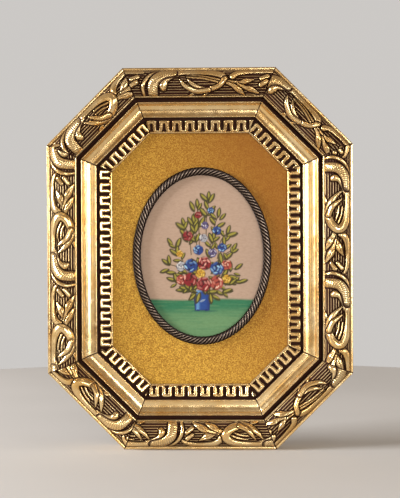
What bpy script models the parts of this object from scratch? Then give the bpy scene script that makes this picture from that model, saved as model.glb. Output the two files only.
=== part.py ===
"""Eight-sided gilt frame with a carved scroll band, a gold mat and a small painted oval in a roped rim.

Metres, +Z up. The picture faces -Y and the frame's flat back lies on y = 0. The origin is the point
where the toothed hanger on the top rail rests on its nail. Lengths of moulding are modelled in a flat
frame of their own: x runs along the rail, clockwise as the picture is seen, y points out of the frame,
so a place across the moulding is an inset -y, and z is the height above the back.
"""
import math

import bmesh
import bpy
from mathutils import Matrix, Vector

MM = 0.001

# The frame's outline: a rectangle with its corners cut at 45 degrees.
FRAME_WIDTH = 203.2 * MM
FRAME_HEIGHT = 254.0 * MM
CORNER_CUT = 50.8 * MM

# Widths of the moulding's members, from its outer edge to the picture.
EDGE_STRIP_WIDTH = 1.6 * MM
QUIRK_WIDTH = 0.8 * MM
BAND_WIDTH = 16.4 * MM
BAND_BEAD_WIDTH = 1.0 * MM
GROOVE_WIDTH = 3.0 * MM
COVE_BEAD_WIDTH = 0.8 * MM
COVE_WIDTH = 8.2 * MM
LEDGE_WIDTH = 0.8 * MM
CHANNEL_WIDTH = 1.7 * MM
MEANDER_WIDTH = 7.5 * MM
SIGHT_BEAD_WIDTH = 1.1 * MM

# Heights of the members, each above or below the one before it.
REBATE_DEPTH = 8.0 * MM
LIP_THICKNESS = 2.0 * MM
MEANDER_STEP = 0.5 * MM
MEANDER_RISE = 1.3 * MM
MEANDER_DEPTH = 1.7 * MM
LEDGE_RISE = 0.9 * MM
COVE_RISE = 4.2 * MM
COVE_HOLLOW = 2.6 * MM
GROOVE_DEPTH = 5.0 * MM
BAND_BEAD_RISE = 0.8 * MM
BAND_RISE = 5.0 * MM
EDGE_DROP = 1.6 * MM
QUIRK_DEPTH = 0.9 * MM
STEP_DROP = 0.4 * MM

BAND_SEGMENTS = 5
COVE_SEGMENTS = 5

# Powers that shape the cove's hollow: it lies nearer to the bead the smaller the first is, and it is the fuller
# the smaller the second is.
COVE_SKEW = 0.62
COVE_FULLNESS = 0.8

REBATE_WIDTH = 5.3 * MM

# The meander ribbon, left standing between slots from the inner side and cups from the outer one.
MEANDER_PITCH = 8.6 * MM
RIBBON_WIDTH = 1.8 * MM
SLOT_WIDTH = 1.4 * MM
SLOT_MOUTH = 2.4 * MM
CUP_MOUTH = 1.9 * MM
CUP_WIDTH = 2.8 * MM

# The scroll stands out of the band by this share of a member's half-width, up to a limit.
RELIEF_SHARE = 1.0
RELIEF_LIMIT = 2.2 * MM

# What the frame holds.
MAT_CLEARANCE = 0.5 * MM
MAT_THICKNESS = 2.0 * MM
BOARD_THICKNESS = 2.5 * MM
OVAL_WIDTH = 86.0 * MM
OVAL_HEIGHT = 112.0 * MM
OVAL_THICKNESS = 1.8 * MM
OVAL_SIDES = 40
OVAL_RISE = 1.8 * MM
OVAL_SHIFT = 1.4 * MM
ROPE_WIDTH = 5.6 * MM
ROPE_OVERLAP = 2.0 * MM
ROPE_HEIGHT = 2.8 * MM
ROPE_TURNS = 26
ROPE_STEPS_PER_TURN = 4

# Pins that hold the backing board in the rebate.
BRAD_RADIUS = 0.6 * MM
BRAD_LENGTH = 11.0 * MM
BRAD_IN_WOOD = 6.5 * MM
BRAD_SIDES = 6

# The toothed hanger and its two pins.
HANGER_LENGTH = 45.0 * MM
HANGER_HEIGHT = 10.0 * MM
HANGER_THICKNESS = 0.8 * MM
HANGER_OFFSET = 1.3 * MM
HANGER_TAB = 7.0 * MM
HANGER_RAMP = 2.0 * MM
HANGER_TOP_INSET = 9.0 * MM
TOOTH_PITCH = 4.0 * MM
TOOTH_DEPTH = 2.0 * MM
TOOTH_COUNT = 7
PIN_HEAD_RADIUS = 2.0 * MM
PIN_HEAD_HEIGHT = 0.8 * MM
PIN_SHANK_RADIUS = 0.7 * MM
PIN_SHANK_LENGTH = 8.0 * MM
PIN_SIDES = 8

CLEARANCE = 0.3 * MM
CUT_MARGIN = 4.0 * MM
WELD = 0.00001

# Where each member ends, counted in from the outer edge.
QUIRK_IN = EDGE_STRIP_WIDTH + QUIRK_WIDTH
BAND_IN = QUIRK_IN + BAND_WIDTH
BAND_BEAD_IN = BAND_IN + BAND_BEAD_WIDTH
GROOVE_IN = BAND_BEAD_IN + GROOVE_WIDTH
COVE_BEAD_IN = GROOVE_IN + COVE_BEAD_WIDTH
COVE_IN = COVE_BEAD_IN + COVE_WIDTH
LEDGE_IN = COVE_IN + LEDGE_WIDTH
CHANNEL_IN = LEDGE_IN + CHANNEL_WIDTH
MEANDER_IN = CHANNEL_IN + MEANDER_WIDTH
MOULDING_WIDTH = MEANDER_IN + SIGHT_BEAD_WIDTH
REBATE_IN = MOULDING_WIDTH - REBATE_WIDTH

# Heights above the back.
SIGHT_TOP = REBATE_DEPTH + LIP_THICKNESS
MEANDER_INNER = SIGHT_TOP + MEANDER_STEP
MEANDER_OUTER = MEANDER_INNER + MEANDER_RISE
MEANDER_FLOOR = MEANDER_INNER - MEANDER_DEPTH
LEDGE_TOP = MEANDER_OUTER + LEDGE_RISE
COVE_TOP = LEDGE_TOP + COVE_RISE
GROOVE_FLOOR = COVE_TOP - GROOVE_DEPTH
BAND_BEAD_TOP = COVE_TOP + BAND_BEAD_RISE
EDGE_TOP = BAND_BEAD_TOP - EDGE_DROP
QUIRK_FLOOR = EDGE_TOP - QUIRK_DEPTH

# The layers behind the sight edge.
MAT_FRONT = REBATE_DEPTH - CLEARANCE
MAT_BACK = MAT_FRONT - MAT_THICKNESS
BOARD_FRONT = MAT_BACK - CLEARANCE
BOARD_BACK = BOARD_FRONT - BOARD_THICKNESS
BRAD_LEVEL = BOARD_BACK - CLEARANCE - BRAD_RADIUS

HANG_POINT_DROP = HANGER_TOP_INSET + HANGER_HEIGHT - TOOTH_DEPTH
CENTRE_Z = HANG_POINT_DROP - FRAME_HEIGHT / 2
HALF_TURN_PER_CORNER = math.radians(45)
MITRE_SLOPE = math.tan(HALF_TURN_PER_CORNER / 2)

# Each length is cut from the running moulding at its own place in the pattern: its name, where its first
# scroll starts, the scroll's length there, and where its first arch stands, from the rail's outer corner.
RAILS = (
    ("rail_top", 13.7 * MM, 86.0 * MM, 27.3 * MM),
    ("rail_top_right", -3.3 * MM, 79.0 * MM, 28.5 * MM),
    ("rail_right", 9.3 * MM, 76.4 * MM, 25.8 * MM),
    ("rail_bottom_right", -5.3 * MM, 79.0 * MM, 25.1 * MM),
    ("rail_bottom", -13.0 * MM, 75.5 * MM, 21.7 * MM),
    ("rail_bottom_left", 6.7 * MM, 75.5 * MM, 21.2 * MM),
    ("rail_left", -15.3 * MM, 74.0 * MM, 20.8 * MM),
    ("rail_top_left", 5.7 * MM, 75.5 * MM, 26.2 * MM),
)

# The scroll's members: how many steps each stretch of the line takes, then its points, as (share of the
# scroll's length, share of the band's width from its outer side, half-width as a share of the band's width).
SCROLL = {
    "crescent": (1, (0.18, 0.05, 0.043), (0.07, 0.25, 0.073), (0.01, 0.60, 0.079), (0.03, 0.98, 0.049)),
    "horn": (1, (0.065, 1.0, 0.159), (0.085, 0.66, 0.177), (0.15, 0.38, 0.165), (0.26, 0.20, 0.128)),
    "loop": (2, (0.24, 0.20, 0.128), (0.50, 0.16, 0.116), (0.63, 0.50, 0.128), (0.44, 0.88, 0.134),
             (0.27, 0.36, 0.049)),
    "second_tip": (1, (0.48, 0.86, 0.091), (0.41, 0.66, 0.091), (0.36, 0.36, 0.043)),
    "hook": (1, (0.28, 0.25, 0.073), (0.20, 0.40, 0.085), (0.17, 0.68, 0.110)),
    "new_stem": (1, (0.66, 0.44, 0.116), (0.74, 0.18, 0.116), (0.97, 0.20, 0.049)),
    "upper_leaf": (1, (0.64, 0.57, 0.061), (0.79, 0.47, 0.110), (0.89, 0.34, 0.043)),
    "lower_leaf": (1, (0.64, 0.62, 0.061), (0.73, 0.78, 0.098), (0.81, 0.97, 0.043)),
    "far_leaf": (1, (0.73, 0.72, 0.061), (0.83, 0.78, 0.098), (0.91, 0.95, 0.043)),
    "upper_berry": (1, (0.915, 0.44, 0.073), (0.95, 0.37, 0.049)),
    "lower_berry": (1, (0.925, 0.68, 0.073), (0.965, 0.60, 0.049)),
}

FINISHES = {
    "gilt": ((0.72, 0.50, 0.20), 0.9, 0.38),
    "gold_mat": ((0.58, 0.37, 0.10), 0.3, 0.7),
    "dark_bronze": ((0.12, 0.08, 0.07), 0.8, 0.4),
    "painted_panel": ((0.60, 0.44, 0.37), 0.0, 0.35),
    "backing_board": ((0.33, 0.23, 0.14), 0.0, 0.8),
    "plated_steel": ((0.62, 0.52, 0.34), 0.9, 0.35),
}


def clear_scene():
    """Remove what the scene holds."""
    for scene_object in list(bpy.data.objects):
        bpy.data.objects.remove(scene_object, do_unlink=True)


def make_collection(name):
    collection = bpy.data.collections.new(name)
    bpy.context.scene.collection.children.link(collection)
    return collection


def make_finishes():
    """One Principled material for each finish, with its colour, metallic value and roughness."""
    materials = {}
    for name, (colour, metallic, roughness) in FINISHES.items():
        material = bpy.data.materials.new(name)
        material.use_nodes = True
        shader = material.node_tree.nodes["Principled BSDF"]
        shader.inputs["Base Color"].default_value = (*colour, 1.0)
        shader.inputs["Metallic"].default_value = metallic
        shader.inputs["Roughness"].default_value = roughness
        materials[name] = material
    return materials


def link_part(name, mesh, collection, material):
    """A sub-part's object, in the collection of parts with its material."""
    mesh.name = name
    part = bpy.data.objects.new(name, mesh)
    collection.objects.link(part)
    mesh.materials.clear()
    mesh.materials.append(material)
    return part


def link_cutter(name, mesh, collection):
    """A guide that Booleans read: drawn as wire and never rendered."""
    mesh.name = name
    cutter = bpy.data.objects.new(name, mesh)
    collection.objects.link(cutter)
    cutter.display_type = "WIRE"
    cutter.hide_render = True
    return cutter


def add_boolean(part, cutter, operation):
    modifier = part.modifiers.new(f"{operation.lower()} {cutter.name}", "BOOLEAN")
    modifier.operation = operation
    modifier.solver = "EXACT"
    modifier.object = cutter
    return modifier


def mesh_of_curve(curve, matrix):
    """The mesh of a curve, placed by matrix, with its caps welded on."""
    holder = bpy.data.objects.new(curve.name, curve)
    bpy.context.scene.collection.objects.link(holder)
    bpy.context.view_layer.update()
    graph = bpy.context.evaluated_depsgraph_get()
    mesh = bpy.data.meshes.new_from_object(holder.evaluated_get(graph))
    bpy.data.objects.remove(holder, do_unlink=True)
    shape = bmesh.new()
    shape.from_mesh(mesh)
    bmesh.ops.remove_doubles(shape, verts=shape.verts, dist=WELD)
    bmesh.ops.transform(shape, matrix=matrix, verts=shape.verts)
    bmesh.ops.recalc_face_normals(shape, faces=shape.faces)
    shape.to_mesh(mesh)
    shape.free()
    return mesh


def flat_outline(name, points, thickness, matrix):
    """A closed outline filled and given a thickness, half of it to each side of its plane."""
    curve = bpy.data.curves.new(name, "CURVE")
    curve.dimensions = "2D"
    curve.fill_mode = "BOTH"
    curve.extrude = thickness / 2
    spline = curve.splines.new("POLY")
    spline.points.add(len(points) - 1)
    for point, place in zip(spline.points, points):
        point.co = (*place, 0.0, 1.0)
    spline.use_cyclic_u = True
    return mesh_of_curve(curve, matrix)


def swept_ridge(curve, points, radii, cyclic=False):
    """Add a line to a curve: four-sided, with a ridge on top, as wide at each point as its radius says."""
    spline = curve.splines.new("POLY")
    spline.points.add(len(points) - 1)
    for point, place, radius in zip(spline.points, points, radii):
        point.co = (*place, 1.0)
        point.radius = radius
    spline.use_cyclic_u = cyclic
    return spline


def new_ridge_curve(name):
    curve = bpy.data.curves.new(name, "CURVE")
    curve.dimensions = "3D"
    curve.fill_mode = "FULL"
    curve.twist_mode = "Z_UP"
    curve.bevel_depth = 1.0
    curve.bevel_resolution = 0
    curve.use_fill_caps = True
    return curve


def cylinder_mesh(name, radius, length, sides, matrix):
    """A capped cylinder of the given length, centred, along its own z before matrix places it."""
    shape = bmesh.new()
    bmesh.ops.create_cone(shape, cap_ends=True, segments=sides, radius1=radius, radius2=radius,
                          depth=length, matrix=matrix)
    mesh = bpy.data.meshes.new(name)
    shape.to_mesh(mesh)
    shape.free()
    return mesh


def octagon(inset):
    """Corners of the frame's outline moved in by an inset, as (x, z) about the frame's centre."""
    half_width = FRAME_WIDTH / 2 - inset
    half_height = FRAME_HEIGHT / 2 - inset
    cut = CORNER_CUT - inset * (2 - math.sqrt(2))
    quarter = ((half_width - cut, half_height), (half_width, half_height - cut))
    corners = []
    for x_sign, z_sign in ((1, 1), (1, -1), (-1, -1), (-1, 1)):
        pair = [(x * x_sign, z * z_sign) for x, z in quarter]
        corners.extend(pair if x_sign == z_sign else reversed(pair))
    return corners


def band_height(share):
    """Height of the band's ground at a share of its width: a round swell between its two springings."""
    share = min(max(share, 0.0), 1.0)
    springing = EDGE_TOP + (BAND_BEAD_TOP - EDGE_TOP) * share - STEP_DROP
    return springing + BAND_RISE * (4 * share * (1 - share)) ** 0.75


def cove_point(share):
    """A point of the cove at a share of its width: a straight fall from bead to ledge, hollowed out so that it
    drops steeply from the bead and then runs almost flat."""
    inset = COVE_BEAD_IN + COVE_WIDTH * share
    fall = COVE_TOP - STEP_DROP + (LEDGE_TOP - COVE_TOP) * share
    return inset, fall - COVE_HOLLOW * math.sin(math.pi * share ** COVE_SKEW) ** COVE_FULLNESS


def moulding_section():
    """The moulding's section as (inset, height), from the back outer corner over the front."""
    section = [(0.0, 0.0), (0.0, EDGE_TOP), (EDGE_STRIP_WIDTH, EDGE_TOP), (QUIRK_IN, QUIRK_FLOOR)]
    for step in range(BAND_SEGMENTS + 1):
        share = step / BAND_SEGMENTS
        section.append((QUIRK_IN + BAND_WIDTH * share, band_height(share)))
    section += [(BAND_IN, BAND_BEAD_TOP), (BAND_BEAD_IN, BAND_BEAD_TOP)]
    section += [(BAND_BEAD_IN, GROOVE_FLOOR), (GROOVE_IN, GROOVE_FLOOR)]
    section += [(GROOVE_IN, COVE_TOP), (COVE_BEAD_IN, COVE_TOP)]
    section += [cove_point(step / COVE_SEGMENTS) for step in range(COVE_SEGMENTS + 1)]
    section += [(COVE_IN, LEDGE_TOP), (LEDGE_IN, LEDGE_TOP), (LEDGE_IN, MEANDER_FLOOR)]
    section += [(CHANNEL_IN, MEANDER_FLOOR), (CHANNEL_IN, MEANDER_OUTER)]
    section += [(MEANDER_IN, MEANDER_INNER), (MEANDER_IN, SIGHT_TOP), (MOULDING_WIDTH, SIGHT_TOP)]
    section += [(MOULDING_WIDTH, REBATE_DEPTH), (REBATE_IN, REBATE_DEPTH), (REBATE_IN, 0.0)]
    return section


def smooth_line(knots, steps):
    """A Catmull-Rom line through knots of any number of values, with so many steps to each stretch."""
    knots = [Vector(knot) for knot in knots]
    padded = [2 * knots[0] - knots[1]] + knots + [2 * knots[-1] - knots[-2]]
    line = []
    for first, start, end, last in zip(padded, padded[1:], padded[2:], padded[3:]):
        for step in range(steps):
            t = step / steps
            line.append(0.5 * (2 * start + (end - first) * t + (2 * first - 5 * start + 4 * end - last) * t * t
                               + (3 * start - first - 3 * end + last) * t ** 3))
    line.append(knots[-1])
    return line


def carving_mesh(name, length, first_start, scroll_length):
    """The scroll's members along one rail, laid on the band and let into it."""
    curve = new_ridge_curve(name)
    start = first_start - scroll_length
    while start < length:
        for steps, *knots in SCROLL.values():
            line = smooth_line(knots, steps)
            places, radii = [], []
            for along, across, half_width in line:
                radius = half_width * BAND_WIDTH
                height = band_height(across) + min(RELIEF_SHARE * radius, RELIEF_LIMIT) - radius
                x = start + along * scroll_length - length / 2
                places.append((x, -(QUIRK_IN + across * BAND_WIDTH), height))
                radii.append(radius)
            if places_on_rail(places, length):
                swept_ridge(curve, places, radii)
        start += scroll_length
    return mesh_of_curve(curve, Matrix.Identity(4))


def places_on_rail(places, length):
    """Whether any of a member's places lies on the rail between its mitres."""
    return any(abs(x) < length / 2 + y * MITRE_SLOPE + CUT_MARGIN for x, y, _ in places)


def meander_gaps_mesh(name, length, first_arch):
    """Blocks for the gaps in the meander: a slot under each arch, open inwards and flaring, and a cup between
    one arch and the next, open outwards."""
    top = MEANDER_OUTER + CUT_MARGIN
    floor = MEANDER_FLOOR + CLEARANCE
    curve = bpy.data.curves.new(name, "CURVE")
    curve.dimensions = "2D"
    curve.fill_mode = "BOTH"
    curve.extrude = (top - floor) / 2
    slot_top = CHANNEL_IN + RIBBON_WIDTH
    mouth = MEANDER_IN
    cup_bottom = MEANDER_IN - RIBBON_WIDTH
    slot = ((-SLOT_WIDTH, slot_top), (SLOT_WIDTH, slot_top), (SLOT_MOUTH, mouth), (-SLOT_MOUTH, mouth))
    brim = CHANNEL_IN - CLEARANCE
    cup = ((-CUP_MOUTH, brim), (CUP_MOUTH, brim), (CUP_WIDTH, cup_bottom), (-CUP_WIDTH, cup_bottom))
    count = math.ceil(length / MEANDER_PITCH) + 3
    for index in range(count):
        arch = first_arch - length / 2 + (index - 3) * MEANDER_PITCH
        add_gap(curve, slot, arch, length)
        add_gap(curve, cup, arch + MEANDER_PITCH / 2, length)
    return mesh_of_curve(curve, Matrix.Translation((0.0, 0.0, (top + floor) / 2)))


def add_gap(curve, outline, middle, length):
    """Add one gap's outline, given as (width, inset) about its middle, where the rail still reaches."""
    if abs(middle) > length / 2 - CHANNEL_IN * MITRE_SLOPE + CUP_WIDTH:
        return
    spline = curve.splines.new("POLY")
    spline.points.add(len(outline) - 1)
    for point, (width, inset) in zip(spline.points, outline):
        point.co = (middle + width / 2, -inset, 0.0, 1.0)
    spline.use_cyclic_u = True


def mitre_cutter_mesh(name, length, end):
    """A block beyond the mitre at one end of a rail, its face half a clearance inside the mitre line."""
    size = 2 * MOULDING_WIDTH
    shape = bmesh.new()
    bmesh.ops.create_cube(shape, size=size)
    bmesh.ops.translate(shape, verts=shape.verts, vec=(size / 2 - CLEARANCE / 2, -size / 4, size / 4))
    bmesh.ops.rotate(shape, verts=shape.verts, matrix=Matrix.Rotation(-HALF_TURN_PER_CORNER / 2, 3, "Z"))
    bmesh.ops.translate(shape, verts=shape.verts, vec=(length / 2, 0.0, 0.0))
    if end < 0:
        bmesh.ops.scale(shape, verts=shape.verts, vec=(-1.0, 1.0, 1.0))
        bmesh.ops.reverse_faces(shape, faces=shape.faces)
    mesh = bpy.data.meshes.new(name)
    shape.to_mesh(mesh)
    shape.free()
    return mesh


def rail_places():
    """For each rail, the middle of its outer edge, its length, and its turn about Y, clockwise from the top."""
    corners = octagon(0.0)
    ordered = [corners[-1]] + corners[:-1]
    places = []
    for index, (start, end) in enumerate(zip(ordered, corners)):
        middle = Vector(((start[0] + end[0]) / 2, 0.0, CENTRE_Z + (start[1] + end[1]) / 2))
        length = math.dist(start, end)
        places.append((middle, length, index * HALF_TURN_PER_CORNER))
    return places


def brad_matrix(radial_shift):
    """Lays a cylinder across the moulding at the brads' level, its middle moved in from the rebate's wall."""
    middle = Matrix.Translation((0.0, -REBATE_IN - radial_shift, BRAD_LEVEL))
    return middle @ Matrix.Rotation(math.radians(90), 4, "X")


def make_rail(spec, place, parts, cutters, materials):
    """One mitred length of moulding with its carving, and the brad driven into its rebate."""
    name, first_start, scroll_length, first_arch = spec
    middle, length, turn = place
    along = Matrix(((0, 0, 1, 0), (1, 0, 0, 0), (0, 1, 0, 0), (0, 0, 0, 1)))
    section = [(-inset, height) for inset, height in moulding_section()]
    rail = link_part(name, flat_outline(name, section, length + CUT_MARGIN, along), parts, materials["gilt"])
    rail.location = middle
    rail.rotation_euler = (math.radians(90), turn, 0.0)

    guides = [
        (carving_mesh(f"{name}_carving", length, first_start, scroll_length), "UNION"),
        (meander_gaps_mesh(f"{name}_meander_gaps", length, first_arch), "DIFFERENCE"),
        (mitre_cutter_mesh(f"{name}_mitre_end", length, 1), "DIFFERENCE"),
        (mitre_cutter_mesh(f"{name}_mitre_start", length, -1), "DIFFERENCE"),
        (brad_hole_mesh(f"{name}_brad_hole"), "DIFFERENCE"),
    ]
    for mesh, operation in guides:
        cutter = link_cutter(mesh.name, mesh, cutters)
        cutter.parent = rail
        modifier = add_boolean(rail, cutter, operation)
        modifier.use_self = operation == "UNION"

    brad_name = name.replace("rail", "brad")
    shift = BRAD_LENGTH / 2 - BRAD_IN_WOOD
    brad_mesh = cylinder_mesh(brad_name, BRAD_RADIUS, BRAD_LENGTH, BRAD_SIDES, brad_matrix(shift))
    brad = link_part(brad_name, brad_mesh, parts, materials["plated_steel"])
    brad.parent = rail
    return rail


def brad_hole_mesh(name):
    """The brad's hole, open into the rebate."""
    depth = BRAD_IN_WOOD + CLEARANCE
    length = depth + CLEARANCE
    return cylinder_mesh(name, BRAD_RADIUS + CLEARANCE, length, BRAD_SIDES, brad_matrix(length / 2 - depth))


def upright(level):
    """Stands a flat outline upright about the frame's centre, at a height above the back."""
    return Matrix.Translation((0.0, -level, CENTRE_Z)) @ Matrix.Rotation(math.radians(90), 4, "X")


def oval_place(level):
    """Stands a flat outline upright about the oval's middle, which is a little above and right of the frame's."""
    return Matrix.Translation((OVAL_SHIFT, 0.0, OVAL_RISE)) @ upright(level)


def make_sheet(name, thickness, front, parts, material):
    """An eight-sided sheet that fits the rebate."""
    outline = octagon(REBATE_IN + MAT_CLEARANCE)
    mesh = flat_outline(name, outline, thickness, upright(front - thickness / 2))
    return link_part(name, mesh, parts, material)


def oval_mesh(name, width, height, thickness, middle_level):
    """An upright elliptical disc, its middle at the oval's place in the mat."""
    shape = bmesh.new()
    bmesh.ops.create_cone(shape, cap_ends=True, segments=OVAL_SIDES, radius1=0.5, radius2=0.5, depth=thickness)
    bmesh.ops.scale(shape, verts=shape.verts, vec=(width, height, 1.0))
    bmesh.ops.transform(shape, matrix=oval_place(middle_level), verts=shape.verts)
    mesh = bpy.data.meshes.new(name)
    shape.to_mesh(mesh)
    shape.free()
    return mesh


def make_oval(parts, cutters, materials):
    """The mat with its oval hole, and the painted oval that sits in it."""
    mat = make_sheet("mat_board", MAT_THICKNESS, MAT_FRONT, parts, materials["gold_mat"])
    through = MAT_THICKNESS + 2 * CLEARANCE
    hole = oval_mesh("mat_hole", OVAL_WIDTH + 2 * CLEARANCE, OVAL_HEIGHT + 2 * CLEARANCE, through,
                     MAT_FRONT - MAT_THICKNESS / 2)
    add_boolean(mat, link_cutter("mat_hole", hole, cutters), "DIFFERENCE")
    panel = oval_mesh("painted_oval", OVAL_WIDTH, OVAL_HEIGHT, OVAL_THICKNESS, MAT_FRONT - OVAL_THICKNESS / 2)
    link_part("painted_oval", panel, parts, materials["painted_panel"])


def make_rope(parts, materials):
    """The rim: a flattened twisted bar bent to the oval, over the panel's edge."""
    radius = ROPE_WIDTH / 2
    half_width = OVAL_WIDTH / 2 - ROPE_OVERLAP + radius
    half_height = OVAL_HEIGHT / 2 - ROPE_OVERLAP + radius
    count = ROPE_TURNS * ROPE_STEPS_PER_TURN
    angles = even_oval_angles(half_width, half_height, count)
    places = [(half_width * math.cos(angle), half_height * math.sin(angle), 0.0) for angle in angles]
    curve = new_ridge_curve("rope_rim")
    spline = swept_ridge(curve, places, [radius] * count, cyclic=True)
    for index, point in enumerate(spline.points):
        point.tilt = 2 * math.pi * index / ROPE_STEPS_PER_TURN
    flatten = Matrix.Diagonal((1.0, 1.0, ROPE_HEIGHT / ROPE_WIDTH, 1.0))
    level = MAT_FRONT + CLEARANCE + ROPE_HEIGHT / 2
    link_part("rope_rim", mesh_of_curve(curve, oval_place(level) @ flatten), parts, materials["dark_bronze"])


def even_oval_angles(half_width, half_height, count):
    """Angles that divide an ellipse into stretches of equal length, found from many short chords."""
    fine = 16 * count
    travelled = [0.0]
    for step in range(fine):
        first, second = 2 * math.pi * step / fine, 2 * math.pi * (step + 1) / fine
        chord = math.hypot(half_width * (math.cos(second) - math.cos(first)),
                           half_height * (math.sin(second) - math.sin(first)))
        travelled.append(travelled[-1] + chord)
    angles, step = [], 0
    for index in range(count):
        target = travelled[-1] * index / count
        while travelled[step + 1] < target:
            step += 1
        share = (target - travelled[step]) / (travelled[step + 1] - travelled[step])
        angles.append(2 * math.pi * (step + share) / fine)
    return angles


def hanger_plate_mesh(name):
    """The hanger's strip: flat tabs at both ends and a middle that stands off the wood, seen from above."""
    half = HANGER_LENGTH / 2
    ramp_out = half - HANGER_TAB
    ramp_in = ramp_out - HANGER_RAMP
    near, far = CLEARANCE, CLEARANCE + HANGER_OFFSET
    front = [(-half, near), (-ramp_out, near), (-ramp_in, far), (ramp_in, far), (ramp_out, near), (half, near)]
    back = [(x, y + HANGER_THICKNESS) for x, y in reversed(front)]
    middle_z = TOOTH_DEPTH - HANGER_HEIGHT / 2
    place = Matrix.Translation((0.0, 0.0, -middle_z))
    return flat_outline(name, front + back, HANGER_HEIGHT, place)


def make_hanger(rail_top, parts, cutters, materials):
    """The toothed hanger on the top rail's back, with the two pins that hold it."""
    hanger = link_part("hanger_plate", hanger_plate_mesh("hanger_plate"), parts, materials["plated_steel"])
    for index in range(TOOTH_COUNT):
        x = (index - (TOOTH_COUNT - 1) / 2) * TOOTH_PITCH
        half = TOOTH_PITCH / 2 - CLEARANCE
        bottom = -TOOTH_DEPTH - CLEARANCE
        outline = [(x - half, bottom), (x, 0.0), (x + half, bottom)]
        thickness = 4 * (HANGER_OFFSET + HANGER_THICKNESS)
        notch = flat_outline(f"tooth_gap_{index + 1}", outline, thickness,
                             Matrix.Rotation(math.radians(90), 4, "X"))
        add_boolean(hanger, link_cutter(notch.name, notch, cutters), "DIFFERENCE")

    face = CLEARANCE + HANGER_THICKNESS
    pin_x = (HANGER_LENGTH - HANGER_TAB) / 2
    pin_z = HANGER_HEIGHT / 2 - TOOTH_DEPTH
    for side, name in ((-1, "hanger_pin_left"), (1, "hanger_pin_right")):
        seat = Vector((side * pin_x, face + CLEARANCE, pin_z))
        pin = link_part(name, pin_mesh(name), parts, materials["plated_steel"])
        pin.location = seat
        hole_length = PIN_SHANK_LENGTH + 4 * CLEARANCE
        hole_place = Matrix.Translation(seat + Vector((0.0, 2 * CLEARANCE - hole_length / 2, 0.0)))
        turn = Matrix.Rotation(math.radians(90), 4, "X")
        hole_radius = PIN_SHANK_RADIUS + CLEARANCE
        hole = cylinder_mesh(f"{name}_hole", hole_radius, hole_length, PIN_SIDES, hole_place @ turn)
        cutter = link_cutter(hole.name, hole, cutters)
        add_boolean(hanger, cutter, "DIFFERENCE")
        add_boolean(rail_top, cutter, "DIFFERENCE")


def pin_mesh(name):
    """A turned pin: its head's underside at y = 0, the head behind it and the shank going forward."""
    profile = [(0.0, PIN_HEAD_HEIGHT), (0.6 * PIN_HEAD_RADIUS, 0.8 * PIN_HEAD_HEIGHT), (PIN_HEAD_RADIUS, 0.0),
               (PIN_SHANK_RADIUS, 0.0), (PIN_SHANK_RADIUS, 2 * PIN_SHANK_RADIUS - PIN_SHANK_LENGTH),
               (0.0, -PIN_SHANK_LENGTH)]
    shape = bmesh.new()
    verts = [shape.verts.new((x, 0.0, z)) for x, z in profile]
    edges = [shape.edges.new(pair) for pair in zip(verts, verts[1:])]
    bmesh.ops.spin(shape, geom=verts + edges, cent=(0, 0, 0), axis=(0, 0, 1), angle=2 * math.pi,
                   steps=PIN_SIDES, use_merge=True)
    bmesh.ops.remove_doubles(shape, verts=shape.verts, dist=WELD)
    bmesh.ops.rotate(shape, verts=shape.verts, matrix=Matrix.Rotation(math.radians(-90), 3, "X"))
    bmesh.ops.recalc_face_normals(shape, faces=shape.faces)
    mesh = bpy.data.meshes.new(name)
    shape.to_mesh(mesh)
    shape.free()
    mesh.shade_smooth()
    mesh.set_sharp_from_angle(angle=math.radians(35))
    return mesh


def main():
    clear_scene()
    parts = make_collection("framed_painting")
    cutters = make_collection("cutters")
    materials = make_finishes()
    rails = [make_rail(spec, place, parts, cutters, materials) for spec, place in zip(RAILS, rail_places())]
    make_oval(parts, cutters, materials)
    make_rope(parts, materials)
    make_sheet("backing_board", BOARD_THICKNESS, BOARD_FRONT, parts, materials["backing_board"])
    make_hanger(rails[0], parts, cutters, materials)


main()
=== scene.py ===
"""Looks of the eight-sided gilt frame with its gold mat, roped rim and painted oval.

Everything is in metres in the CAD's own frame: +Z is up, the picture faces -Y and the wood's flat back lies
on y = 0. The moulding's section and carving are worked out in millimetres. Each class stands for one
sub-assembly, with a build or dress method, and each finish is a small class that makes one procedural
material.
"""
import logging
import math
from dataclasses import dataclass, field
from enum import Enum

import bpy
import numpy as np
from mathutils import Matrix, Vector


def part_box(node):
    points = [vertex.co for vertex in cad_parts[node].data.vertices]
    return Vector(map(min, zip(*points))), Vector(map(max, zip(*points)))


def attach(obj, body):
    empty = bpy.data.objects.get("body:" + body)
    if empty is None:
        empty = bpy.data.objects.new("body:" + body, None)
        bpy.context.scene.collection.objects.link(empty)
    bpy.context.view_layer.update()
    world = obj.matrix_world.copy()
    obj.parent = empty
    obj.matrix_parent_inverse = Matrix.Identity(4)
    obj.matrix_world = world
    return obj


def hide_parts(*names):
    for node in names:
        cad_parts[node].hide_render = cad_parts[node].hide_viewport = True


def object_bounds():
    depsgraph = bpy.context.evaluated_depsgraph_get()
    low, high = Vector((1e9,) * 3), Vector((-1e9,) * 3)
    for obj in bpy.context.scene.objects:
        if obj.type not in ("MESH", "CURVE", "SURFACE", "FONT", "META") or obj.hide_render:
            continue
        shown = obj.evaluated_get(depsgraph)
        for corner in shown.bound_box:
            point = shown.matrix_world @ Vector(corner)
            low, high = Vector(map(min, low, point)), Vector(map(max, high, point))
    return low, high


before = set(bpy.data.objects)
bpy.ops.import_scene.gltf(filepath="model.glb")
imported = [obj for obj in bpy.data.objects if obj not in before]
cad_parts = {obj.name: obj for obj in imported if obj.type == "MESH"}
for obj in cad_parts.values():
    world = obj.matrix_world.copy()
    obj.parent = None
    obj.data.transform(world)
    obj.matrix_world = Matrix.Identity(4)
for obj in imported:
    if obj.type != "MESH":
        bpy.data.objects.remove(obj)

MM = 0.001
CAD_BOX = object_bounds()
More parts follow.
